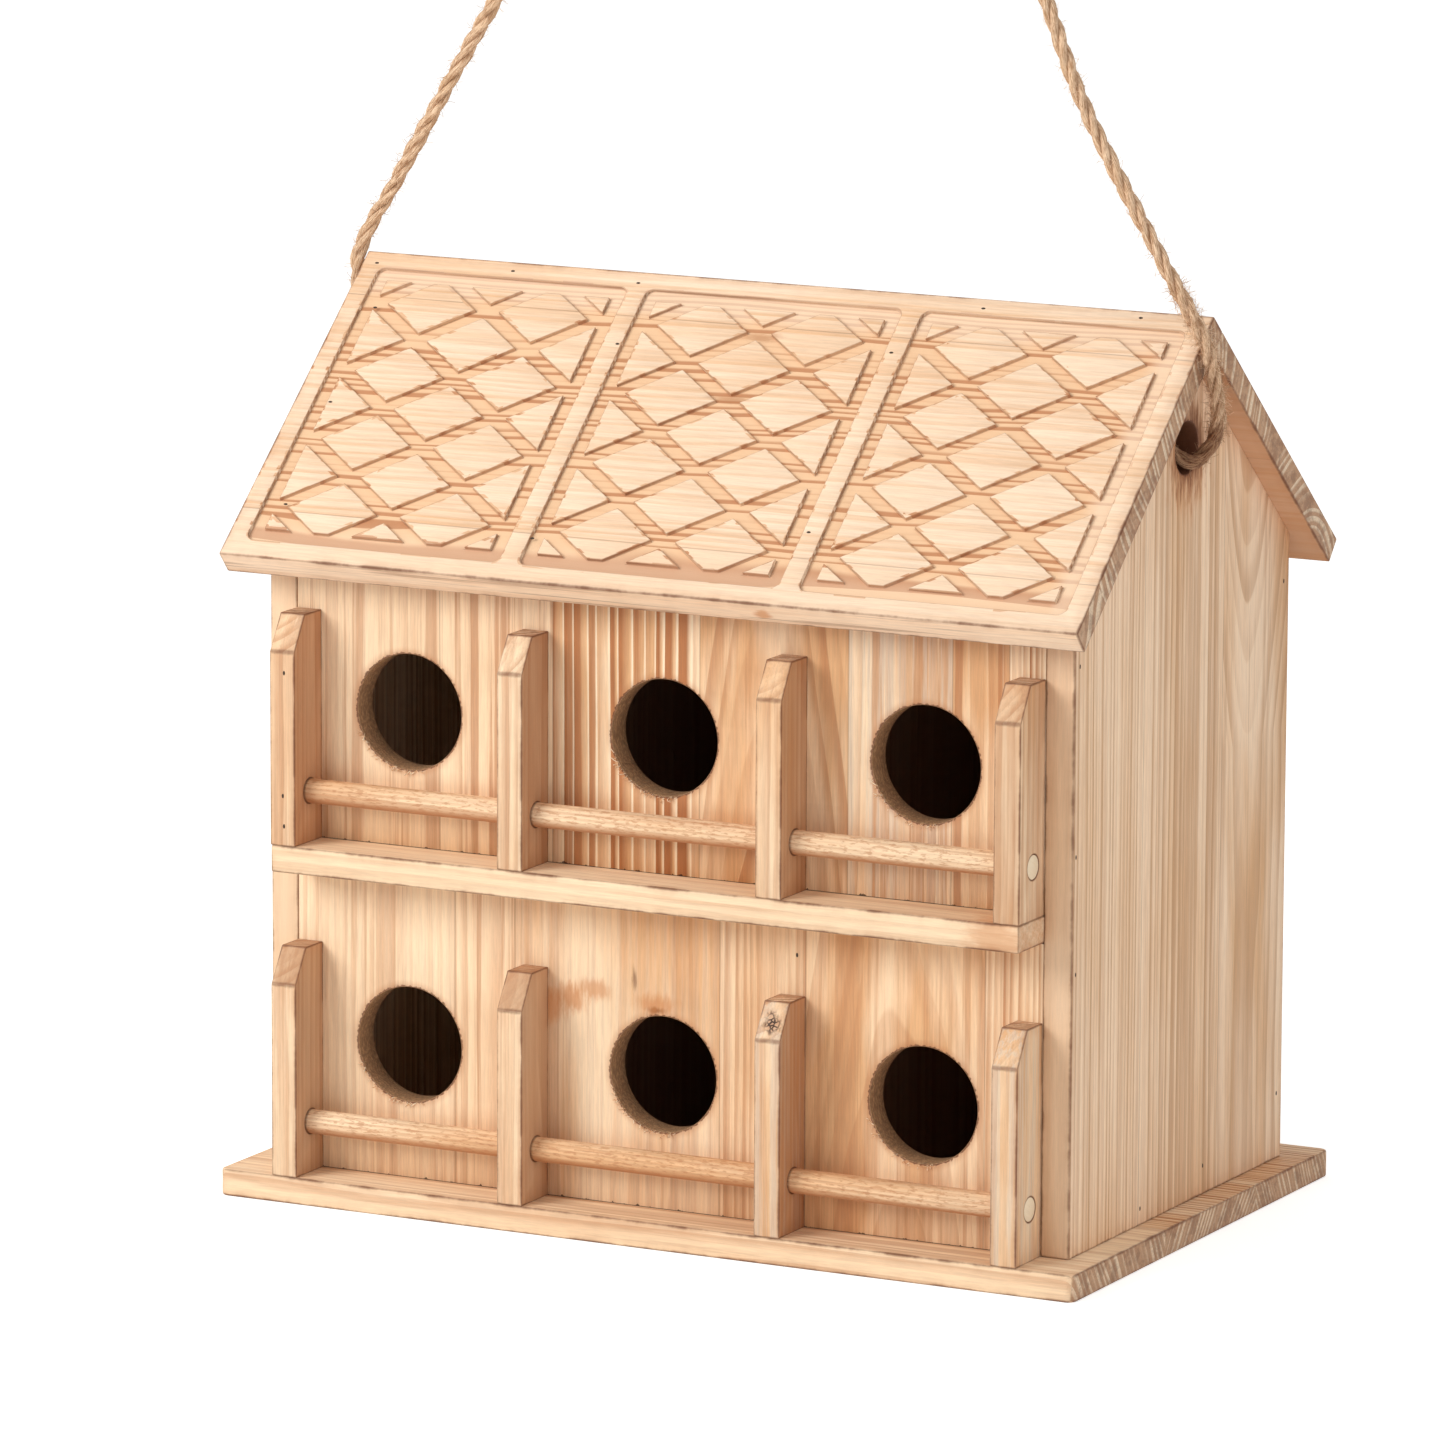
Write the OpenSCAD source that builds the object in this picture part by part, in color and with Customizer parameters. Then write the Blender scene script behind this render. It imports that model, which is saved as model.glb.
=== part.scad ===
// Two-storey wooden birdhouse with six entrance holes, a carved gable roof,
// perch rails held by upright posts, and a hanging rope knotted inside the gables.
// X runs along the front, Y from front to back and Z up; the base stands on Z = 0.

/* [House] */
// Width over the outer faces of the two side walls
house_w = 289; // [220:1:360]
// Depth of the side walls from front edge to back edge
house_d = 163; // [130:1:220]
// Clear height of the lower chambers
lower_h = 101; // [84:1:140]
// Height of the upper front wall at its front face
upper_h = 98; // [80:1:140]

/* [Boards] */
// Thickness of the side, front and back walls
wall_t = 10; // [6:0.5:14]
// Thickness of the upright dividers between the chambers
divider_t = 10; // [5:0.5:14]
// Thickness of the middle floor, whose front edge is the ledge
floor_t = 9; // [6:0.5:14]
// Thickness of the base board
base_t = 9; // [6:0.5:18]
// Thickness of the two roof boards
roof_t = 9; // [6:0.5:14]

/* [Base] */
// How far the base board runs out past each side wall
base_side = 10; // [2:1:40]
// How far the base board runs out past the back wall
base_back = 17; // [2:1:40]
// Radius of the upright corners of the base board
base_corner_r = 3; // [0.5:0.5:6]

/* [Front] */
// How far the ledge, the base and the posts stand out from the front walls
porch_d = 18; // [15:1:30]
// Diameter of the entrance holes
hole_d = 38; // [26:1:46]
// Height of a hole's centre above the floor that it opens on
hole_h = 44.5; // [36:0.5:60]

/* [Posts and perches] */
// Width of a post across the front
post_w = 9; // [6:0.5:14]
// Height of a post
post_h = 75.5; // [50:0.5:78]
// Depth of the slanted cut at the top of a post
post_cut_d = 7; // [2:0.5:12]
// Height of the slanted cut at the top of a post
post_cut_h = 11.5; // [4:0.5:20]
// Diameter of the perch rails
perch_d = 8; // [4:0.5:10]
// Height of a perch rail's centre above the floor that its posts stand on
perch_h = 17; // [10:0.5:24]
// Distance of a perch rail's centre behind the front of the posts
perch_in = 10; // [7:0.5:12]
// Play all round a perch rail in the bores of its posts
perch_play = 0.1; // [0.05:0.05:0.3]

/* [Roof] */
// Slope of both roof boards, in degrees
roof_pitch = 41; // [32:1:50]
// How far the eaves lie out from the front and back walls, measured level
eave_run = 18; // [10:1:40]
// How far the roof boards run out past each side wall
roof_side = 9; // [4:1:30]

/* [Roof carving] */
// Number of carved panels side by side
panels = 3; // [1:1:5]
// Width of the plain band round each panel
band_w = 7; // [4:0.5:12]
// Radius of a panel's corners
panel_r = 3; // [1:0.5:4]
// Rows of whole diamonds in a panel, from ridge to eave
diamond_rows = 4; // [2:1:6]
// Whole diamonds side by side in a row
diamond_columns = 2; // [1:1:4]
// Width of the carved grooves
groove_w = 5; // [2:0.5:7]
// Depth of the carved grooves
groove_t = 1.2; // [0.5:0.1:3]

/* [Rope] */
// Diameter of the rope
rope_d = 5; // [4:0.5:8]
// Diameter of the rope hole in each side wall
rope_hole_d = 17; // [14:0.5:19]
// Depth of a rope hole's centre below the peak of its side wall
rope_hole_drop = 31; // [24:0.5:50]
// Diameter of the stopper knot at each end of the rope
knot_d = 20; // [19:0.5:26]
// Length of a stopper knot along the rope
knot_l = 12; // [10:0.5:16]
// Gap left between a stopper knot and the rim of its hole
knot_gap = 0.35; // [0.2:0.05:0.6]

/* [Hidden] */
$fn = 64;
pale_wood = "#efd2a6";
grey_wood = "#dcbe96";
cut_wood = "#d9b283";
jute = "#c49a66";

// Plan sizes: the origin lies in the middle of everything but the rope
overhang_front = max(porch_d, eave_run);
overhang_back = max(base_back, eave_run);
front_y = (overhang_front - overhang_back - house_d) / 2;
back_y = front_y + house_d;
mid_y = (front_y + back_y) / 2;
porch_y = front_y - porch_d;
inner_w = house_w - 2 * wall_t;
inner_front_y = front_y + wall_t;
inner_back_y = back_y - wall_t;
side_x = inner_w / 2;
base_w = house_w + 2 * base_side;

// Chambers: three on each floor, a divider between each two
chambers = 3;
chamber_pitch = (inner_w + divider_t) / chambers;
hole_x = [for (i = [0:chambers - 1]) (i - (chambers - 1) / 2) * chamber_pitch];
divider_x = [-chamber_pitch / 2, chamber_pitch / 2];
post_x = [-side_x + post_w / 2, divider_x[0], divider_x[1], side_x - post_w / 2];

// Heights
ledge_z = base_t + lower_h;
upper_z = ledge_z + floor_t;
eave_z = upper_z + upper_h;
peak_z = eave_z + house_d / 2 * tan(roof_pitch);
ridge_z = peak_z + roof_t / cos(roof_pitch);
rope_hole_z = peak_z - rope_hole_drop;

// Roof boards
roof_w = house_w + 2 * roof_side;
slope_l = (house_d / 2 + eave_run) / cos(roof_pitch);
panel_w = (roof_w - (panels + 1) * band_w) / panels;
panel_l = slope_l - 2 * band_w;
cell_w = (panel_w - 2 * groove_w) / diamond_columns;
cell_l = panel_l / diamond_rows;

// A knot is drawn into the mouth of its hole until its round shoulder bears on the rim
knot_round_r = knot_l / 2;
knot_flat_r = knot_d / 2 - knot_round_r;
knot_shoulder = rope_hole_d / 2 - knot_flat_r;
knot_face_x = side_x + knot_round_r - sqrt(pow(knot_round_r + knot_gap, 2) - pow(knot_shoulder, 2));

// Overlap that keeps a cut clean where it leaves a surface
cut = 1;

// Centreline of the rope, from the left knot over the top of the loop to the right knot
rope_points = [
    [-knot_face_x, 0, 257], [-138.5, 0, 256], [-141, 0, 253.5], [-144.5, 0.5, 252.2], [-148, 0.5, 254],
    [-151, 0.5, 258], [-154, 0, 263.5], [-156, -0.5, 270.5], [-157, -0.5, 280], [-157, -0.5, 290],
    [-157, 0, 299], [-152, 0.5, 310], [-144, 0, 322], [-130.5, -1, 344], [-117.5, -2, 365],
    [-103.8, -3, 386.5], [-89, -3.5, 410.5], [-74.3, -4.5, 435.5], [-60, -5.5, 461], [-45, -6.5, 486.5],
    [-30, -8, 511.5], [-19, -8.5, 529], [-10, -9, 540], [0, -9, 547], [11, -9, 549.5],
    [22, -9, 546.5], [30.5, -9.5, 539], [37.5, -9.5, 529], [48, -10, 509.5], [61, -11, 483.5],
    [74, -12, 457.5], [87, -13.5, 429.5], [100, -15, 400], [111.5, -16, 373], [125, -17, 348.5],
    [138.7, -17.5, 326.5], [147.7, -18.5, 312.5], [154, -17, 301], [157, -12.5, 291], [157, -8.5, 283.5],
    [156.8, -5, 276.5], [156, -1.5, 269.5], [154, 2, 263.5], [151, 4, 258], [148, 3.8, 253.8],
    [144.5, 2.2, 252.2], [141, 1, 253.5], [138.5, 0.3, 256], [knot_face_x, 0, 257]
];
rope_sides = 8;

post_numbers = [1:len(post_x)];
post_nodes = [for (floor_name = ["lower", "upper"], i = post_numbers) str(floor_name, "_post_", i)];

// Height of the roof's underside above a place across the house
function under_roof(y) = peak_z - abs(y - mid_y) * tan(roof_pitch);

// Draws a side view, with Y to the right and Z up, and runs it across the house
module across(w) {
    rotate([90, 0, 90]) linear_extrude(height = w, center = true) children();
}

// Flat outline with round corners, centred on the origin
module round_outline(w, d, r) {
    square([w - 2 * r, d], center = true);
    square([w, d - 2 * r], center = true);
    for (x = [-1, 1], y = [-1, 1]) translate([x * (w / 2 - r), y * (d / 2 - r)]) circle(r);
}

module base_board() {
    depth = porch_d + house_d + base_back;
    color(pale_wood)
        translate([0, porch_y + depth / 2, 0])
            linear_extrude(height = base_t) round_outline(base_w, depth, base_corner_r);
}

// Gable wall, with the rope hole under its peak
module side_wall(side) {
    color(grey_wood)
        translate([side * (side_x + wall_t / 2), 0, 0])
            difference() {
                across(wall_t)
                    polygon([[front_y, base_t], [back_y, base_t], [back_y, eave_z],
                             [mid_y, peak_z], [front_y, eave_z]]);
                translate([0, mid_y, rope_hole_z])
                    rotate([0, 90, 0]) cylinder(h = wall_t + 2 * cut, d = rope_hole_d, center = true);
            }
}

module back_wall() {
    color(pale_wood)
        across(inner_w)
            polygon([[inner_back_y, base_t], [back_y, base_t], [back_y, eave_z],
                     [inner_back_y, under_roof(inner_back_y)]]);
}

// Row of entrance holes through a front wall that stands on a floor at height z
module entrance_holes(z) {
    for (x = hole_x)
        translate([x, front_y + wall_t / 2, z + hole_h])
            rotate([90, 0, 0]) cylinder(h = wall_t + 2 * cut, d = hole_d, center = true);
}

module lower_front_wall() {
    color(pale_wood)
        difference() {
            across(inner_w)
                polygon([[front_y, base_t], [inner_front_y, base_t],
                         [inner_front_y, ledge_z], [front_y, ledge_z]]);
            entrance_holes(base_t);
        }
}

// The top edge is bevelled to the slope of the roof
module upper_front_wall() {
    color(pale_wood)
        difference() {
            across(inner_w)
                polygon([[front_y, upper_z], [inner_front_y, upper_z],
                         [inner_front_y, under_roof(inner_front_y)], [front_y, eave_z]]);
            entrance_holes(upper_z);
        }
}

module middle_floor() {
    color(pale_wood)
        across(inner_w)
            polygon([[porch_y, ledge_z], [inner_back_y, ledge_z],
                     [inner_back_y, upper_z], [porch_y, upper_z]]);
}

module lower_divider(x) {
    color(cut_wood)
        translate([x, 0, 0])
            across(divider_t)
                polygon([[inner_front_y, base_t], [inner_back_y, base_t],
                         [inner_back_y, ledge_z], [inner_front_y, ledge_z]]);
}

module upper_divider(x) {
    color(cut_wood)
        translate([x, 0, 0])
            across(divider_t)
                polygon([[inner_front_y, upper_z], [inner_back_y, upper_z],
                         [inner_back_y, under_roof(inner_back_y)], [mid_y, peak_z],
                         [inner_front_y, under_roof(inner_front_y)]]);
}

// One diamond of the lattice, smaller than its cell by half a groove on every side
module diamond() {
    edge = norm([cell_w, cell_l]);
    shrink = 1 - groove_w * edge / (cell_w * cell_l);
    a = cell_w / 2 * shrink;
    b = cell_l / 2 * shrink;
    polygon([[a, 0], [0, b], [-a, 0], [0, -b]]);
}

// Diamonds that stay raised: full rows, and rows between them that are set over by half a cell
module raised_diamonds() {
    intersection() {
        square([panel_w - 2 * groove_w, panel_l - 2 * groove_w], center = true);
        union() {
            for (row = [0:diamond_rows - 1], column = [0:diamond_columns - 1])
                translate([(column - (diamond_columns - 1) / 2) * cell_w,
                           (row - (diamond_rows - 1) / 2) * cell_l])
                    diamond();
            for (row = [0:diamond_rows], column = [0:diamond_columns])
                translate([(column - diamond_columns / 2) * cell_w, (row - diamond_rows / 2) * cell_l])
                    diamond();
        }
    }
}

// Carved field of one panel, seen square on
module panel_grooves() {
    difference() {
        round_outline(panel_w, panel_l, panel_r);
        raised_diamonds();
    }
}

// The front board runs up to the ridge and covers the top edge of the rear board
module front_roof_board() {
    color(pale_wood)
        translate([0, mid_y, ridge_z]) rotate([roof_pitch, 0, 0])
            difference() {
                across(roof_w)
                    polygon([[0, 0], [-slope_l, 0], [-slope_l, -roof_t],
                             [roof_t / tan(2 * roof_pitch), -roof_t]]);
                for (i = [0:panels - 1])
                    translate([(i - (panels - 1) / 2) * (panel_w + band_w), -slope_l / 2, -groove_t])
                        linear_extrude(height = groove_t + cut) panel_grooves();
            }
}

module rear_roof_board() {
    color(pale_wood)
        translate([0, mid_y, ridge_z]) rotate([-roof_pitch, 0, 0])
            across(roof_w)
                polygon([[roof_t / sin(2 * roof_pitch), 0], [slope_l, 0], [slope_l, -roof_t],
                         [roof_t * tan(roof_pitch), -roof_t]]);
}

// Upright post on a floor at height z, with a slanted front top and a bore for the perch rail
module post(x, z) {
    color(cut_wood)
        translate([x, porch_y, z])
            difference() {
                across(post_w)
                    polygon([[0, 0], [porch_d, 0], [porch_d, post_h],
                             [post_cut_d, post_h], [0, post_h - post_cut_h]]);
                translate([0, perch_in, perch_h])
                    rotate([0, 90, 0])
                        cylinder(h = post_w + 2 * cut, d = perch_d + 2 * perch_play, center = true);
            }
}

// Round rail that runs through the four posts of one floor
module perch(z) {
    color(pale_wood)
        translate([0, porch_y + perch_in, z + perch_h])
            rotate([0, 90, 0]) cylinder(h = inner_w, d = perch_d, center = true);
}

// Stopper knot: a thick round bead, whose flat middle meets the end of the rope
module knot(side) {
    color(jute)
        translate([side * knot_face_x, mid_y, rope_hole_z])
            rotate([0, -90 * side, 0])
                rotate_extrude() {
                    square([knot_flat_r, knot_l]);
                    translate([knot_flat_r, knot_round_r])
                        intersection() {
                            circle(r = knot_round_r);
                            translate([0, -knot_round_r]) square([knot_round_r, knot_l]);
                        }
                }
}

// Direction of the rope at one of its points
function rope_direction(i) =
    let (last = len(rope_points) - 1,
         step = rope_points[min(i + 1, last)] - rope_points[max(i - 1, 0)])
    i == 0 ? [-1, 0, 0] : i == last ? [-1, 0, 0] : step / norm(step);

// Ring of points round the rope's centreline, square to its direction
function rope_ring(i) =
    let (t = rope_direction(i),
         side = [0, 1, 0] - t[1] * t,
         u = side / norm(side),
         v = cross(t, u))
    [for (k = [0:rope_sides - 1])
        rope_points[i] + rope_d / 2 * (cos(k * 360 / rope_sides) * u + sin(k * 360 / rope_sides) * v)];

module rope() {
    rings = len(rope_points);
    points = [for (i = [0:rings - 1]) each rope_ring(i)];
    walls = [for (i = [0:rings - 2], k = [0:rope_sides - 1])
        let (a = i * rope_sides + k, b = i * rope_sides + (k + 1) % rope_sides)
        [a, b, b + rope_sides, a + rope_sides]];
    first_end = [for (k = [rope_sides - 1:-1:0]) k];
    last_end = [for (k = [0:rope_sides - 1]) (rings - 1) * rope_sides + k];
    color(jute) polyhedron(points = points, faces = concat([first_end], walls, [last_end]), convexity = 8);
}

base_board();
side_wall(-1);  // left_side_wall
side_wall(1);  // right_side_wall
back_wall();
lower_front_wall();
upper_front_wall();
middle_floor();
lower_divider(divider_x[0]);  // lower_left_divider
lower_divider(divider_x[1]);  // lower_right_divider
upper_divider(divider_x[0]);  // upper_left_divider
upper_divider(divider_x[1]);  // upper_right_divider
front_roof_board();
rear_roof_board();
for (i = post_numbers) {
    post(post_x[i - 1], base_t);
    post(post_x[i - 1], upper_z);
}
perch(base_t);  // lower_perch
perch(upper_z);  // upper_perch
rope();
knot(-1);  // left_knot
knot(1);  // right_knot
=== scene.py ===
"""Finish of a wooden birdhouse: torch-burnt and brushed boards, a twisted jute rope, brads and a studio stage."""

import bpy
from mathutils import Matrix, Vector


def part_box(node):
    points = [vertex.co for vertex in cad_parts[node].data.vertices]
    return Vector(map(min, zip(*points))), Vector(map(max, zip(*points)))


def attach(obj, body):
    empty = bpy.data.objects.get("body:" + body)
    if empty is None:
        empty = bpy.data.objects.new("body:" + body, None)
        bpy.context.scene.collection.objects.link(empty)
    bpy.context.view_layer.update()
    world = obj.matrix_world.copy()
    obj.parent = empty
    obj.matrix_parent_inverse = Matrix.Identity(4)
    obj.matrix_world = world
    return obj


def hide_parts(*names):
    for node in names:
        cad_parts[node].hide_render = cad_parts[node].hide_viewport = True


bl_info = {
    "name": "Multi-hole Birdhouse",
    "version": (1, 0, 0),
    "blender": (4, 5, 0),
    "location": "View3D > Sidebar > Birdhouse",
    "description": "Torch-burnt boards, carved roof, jute rope, brads and stage of a hanging birdhouse",
    "category": "Add Mesh",
}

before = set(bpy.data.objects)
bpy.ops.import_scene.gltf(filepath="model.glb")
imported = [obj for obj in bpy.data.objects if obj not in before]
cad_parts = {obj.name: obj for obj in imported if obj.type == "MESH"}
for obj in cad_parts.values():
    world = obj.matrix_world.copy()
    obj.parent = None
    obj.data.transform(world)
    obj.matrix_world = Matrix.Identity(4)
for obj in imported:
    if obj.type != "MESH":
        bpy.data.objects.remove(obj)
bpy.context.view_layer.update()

import math
import random

import bmesh
import bpy
from bpy.props import FloatProperty, FloatVectorProperty, IntProperty, PointerProperty
from mathutils import Euler, Matrix, Vector

MM = 0.001
BODY = "root"

# Places of the boards, read from the frame
BASE_LOW, BASE_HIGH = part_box("base_board")
FRONT_LOW, FRONT_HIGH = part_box("upper_front_wall")
SIDE_LOW, SIDE_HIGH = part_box("right_side_wall")
ROOF_LOW, ROOF_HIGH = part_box("front_roof_board")
LEDGE_LOW, LEDGE_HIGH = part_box("middle_floor")
BASE_TOP = BASE_HIGH.z
LEDGE_TOP = LEDGE_HIGH.z
FRONT_Y = FRONT_LOW.y
SIDE_X = SIDE_HIGH.x
RIDGE_Z = ROOF_HIGH.z
ROOF_HALF = ROOF_HIGH.x
ROOF_PITCH = math.radians(41)
SLOPE_LENGTH = -ROOF_LOW.y / math.cos(ROOF_PITCH)

# Entrance holes, carving and rope hole, at the sizes of the frame
HOLE_RADIUS = 19 * MM
HOLE_PITCH = 93 * MM
HOLE_RISE = 44.5 * MM
ROPE_HOLE_RADIUS = 8.5 * MM
ROPE_HOLE_Z = 256.85 * MM
POST_WIDTH = 9 * MM
BORE_DROP = (75.5 / 2 - 17) * MM
BORE_SET_BACK = -1 * MM
POST_CENTRES = (-130 * MM, -46.5 * MM, 46.5 * MM, 130 * MM)
FIELD_BAND = 7 * MM
FIELD_COUNT = 3
FIELD_CORNER = 3 * MM
GROOVE_WIDTH = 5 * MM
DIAMOND_ROWS = 4
DIAMOND_COLUMNS = 2


def colour_property(name, text, value):
    """Colour as it looks on a screen; linear() turns it into the shader's own scale."""
    return FloatVectorProperty(name=name, description=text, subtype="COLOR_GAMMA", size=3, min=0, max=1, default=value)


class WoodSettings(bpy.types.PropertyGroup):
    pale: colour_property("Pale wood", "Early wood of the front boards", (0.985, 0.87, 0.725))
    warm: colour_property("Warm wood", "Broad warm patches between the rings", (0.89, 0.70, 0.51))
    streak: colour_property("Streak", "Late wood, browned by the torch", (0.71, 0.46, 0.28))
    fresh: colour_property("Fresh wood", "Thin lines that the brush laid bare", (1.0, 0.925, 0.80))
    side_pale: colour_property("Side wood", "Early wood of the side walls", (1.0, 0.875, 0.745))
    side_streak: colour_property("Side streak", "Late wood of the side walls", (0.76, 0.58, 0.42))
    roof: colour_property("Roof wood", "Face of the carved roof board", (0.985, 0.872, 0.755))
    roof_streak: colour_property("Roof streak", "Grain lines on the roof", (0.88, 0.67, 0.47))
    groove: colour_property("Groove floor", "Floor of the carved grooves", (0.95, 0.785, 0.62))
    groove_streak: colour_property("Groove streak", "Grain lines in the grooves", (0.78, 0.55, 0.385))
    # Brown wood also gives the painted shade on the right side faces of the inner posts
    brown: colour_property("Brown wood", "Side faces that the torch browned evenly", (0.66, 0.45, 0.29))
    resin: colour_property("Resin", "Amber marks round the knots", (0.80, 0.52, 0.30))
    ash: colour_property("Ash", "Greyish streaks where the brush took the colour off", (0.90, 0.82, 0.72))
    burnt: colour_property("Burnt arris", "Edges, rims and seams", (0.42, 0.24, 0.13))
    # Char: charred notches and knot cracks, and the painted shade of the gap along the front walls' foot
    char: colour_property("Char", "Gaps and notches", (0.13, 0.07, 0.04))
    # Chamber shade: painted shade on the faces inside the chambers, which get little light
    chamber_shade: colour_property("Smoke", "Smoked faces inside the chambers", (0.36, 0.19, 0.13))
    end_grain: colour_property("End grain", "Cut ends of the boards", (0.73, 0.57, 0.44))
    end_ring: colour_property("End ring", "Rings in the cut ends", (0.92, 0.82, 0.70))
    hole_wall: colour_property("Hole wall", "Inside of the entrance holes", (0.56, 0.42, 0.30))
    arris: FloatProperty(name="Arris", description="Width of the softened edges", default=0.5 * MM, min=0, max=2 * MM,
                         unit="LENGTH")
    groove_arris: FloatProperty(name="Groove arris", description="Width of the softened edges of the carving",
                                default=0.15 * MM, min=0, max=1 * MM, unit="LENGTH")


class RopeSettings(bpy.types.PropertyGroup):
    diameter: FloatProperty(name="Diameter", description="Diameter of the rope", default=5 * MM, min=3 * MM, max=8 * MM,
                            unit="LENGTH")
    lay: FloatProperty(name="Lay", description="Length of one turn of a strand", default=26 * MM, min=10 * MM,
                       max=60 * MM, unit="LENGTH")
    fibres: IntProperty(name="Fibres", description="Loose fibres that stand off the rope", default=4200, min=0, max=8000)
    light: colour_property("Light fibre", "Sunlit fibres", (1.0, 0.87, 0.73))
    # Dark fibre also gives the painted shade between the strands
    dark: colour_property("Dark fibre", "Fibres between the strands", (0.69, 0.51, 0.36))
    # Stain: rope rubbed brown at the gable holes, with painted shade there too
    stain_and_shade: colour_property("Stain", "Rope rubbed brown at the gables", (0.42, 0.24, 0.14))


class BradSettings(bpy.types.PropertyGroup):
    head: FloatProperty(name="Head", description="Width of a brad's head", default=1.5 * MM, min=0.5 * MM, max=4 * MM,
                        unit="LENGTH")
    steel: colour_property("Steel", "Darkened steel of the heads", (0.30, 0.24, 0.19))


class StageSettings(bpy.types.PropertyGroup):
    floor: colour_property("Floor", "Plain pale floor", (0.97, 0.965, 0.96))
    key: FloatProperty(name="Key", description="Power of the key lamp in watts", default=26, min=0, max=500)
    fill: FloatProperty(name="Fill", description="Power of the fill lamp in watts", default=6.5, min=0, max=500)
    sky: FloatProperty(name="Sky", description="Strength of the even light from all round", default=0.55, min=0, max=3)


def settings(name):
    return getattr(bpy.context.scene, "birdhouse_" + name)


def linear(colour):
    """Screen colour to the shader's linear colour, with full alpha."""
    return [c / 12.92 if c <= 0.04045 else ((c + 0.055) / 1.055) ** 2.4 for c in colour] + [1.0]


# Node sheets

class Sheet:
    """Writes nodes into one tree; every call gives the new node's first output."""

    def __init__(self, tree):
        self.tree = tree
        self.last = None

    def put(self, socket, value):
        if isinstance(value, bpy.types.NodeSocket):
            self.tree.links.new(value, socket)
        elif value is not None:
            socket.default_value = value

    def node(self, kind, values=(), output=0, **settings_of):
        node = self.tree.nodes.new(kind)
        for key, value in settings_of.items():
            setattr(node, key, value)
        pairs = values.items() if isinstance(values, dict) else enumerate(values)
        for key, value in pairs:
            self.put(node.inputs[key], value)
        self.last = node
        return node.outputs[output]

    def math(self, operation, *values, clamp=False):
        return self.node("ShaderNodeMath", values, operation=operation, use_clamp=clamp)

    def vector(self, operation, *values, output=0):
        return self.node("ShaderNodeVectorMath", values, output, operation=operation)

    def split(self, vector):
        self.node("ShaderNodeSeparateXYZ", [vector])
        return tuple(self.last.outputs)

    def join(self, x, y, z):
        return self.node("ShaderNodeCombineXYZ", [x, y, z])

    def ramp(self, value, low, high, to_low=0.0, to_high=1.0):
        """Smooth step of a value from one range to another."""
        return self.node("ShaderNodeMapRange", [value, low, high, to_low, to_high], interpolation_type="SMOOTHSTEP")

    def noise(self, vector, scale, detail=2.0, roughness=0.5, output=0):
        values = {"Vector": vector, "Scale": scale, "Detail": detail, "Roughness": roughness}
        return self.node("ShaderNodeTexNoise", values, output)

    def chance(self, value):
        """Random number of a whole number, and a random vector beside it."""
        number = self.node("ShaderNodeTexWhiteNoise", {"W": value}, noise_dimensions="1D")
        return number, self.last.outputs["Color"]

    def mix(self, share, first, second, blend="MIX"):
        node = self.tree.nodes.new("ShaderNodeMix")
        node.data_type = "RGBA"
        node.blend_type = blend
        self.put(node.inputs[0], share)
        self.put(node.inputs[6], first)
        self.put(node.inputs[7], second)
        return node.outputs[2]

    def group(self, tree, **values):
        node = self.tree.nodes.new("ShaderNodeGroup")
        node.node_tree = tree
        for key, value in values.items():
            self.put(node.inputs[key.replace("_", " ")], value)
        return node.outputs


def new_group(name, inputs, outputs):
    """Empty shader group with named sockets: (name, kind, default) in, names of values out."""
    tree = bpy.data.node_groups.new(name, "ShaderNodeTree")
    for socket_name, kind, default in inputs:
        socket = tree.interface.new_socket(socket_name, in_out="INPUT", socket_type="NodeSocket" + kind)
        socket.default_value = default
    for socket_name in outputs:
        tree.interface.new_socket(socket_name, in_out="OUTPUT", socket_type="NodeSocketFloat")
    sheet = Sheet(tree)
    entry = tree.nodes.new("NodeGroupInput")
    given = {socket.name: socket for socket in entry.outputs if socket.name}
    return tree, sheet, given, tree.nodes.new("NodeGroupOutput")


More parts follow.
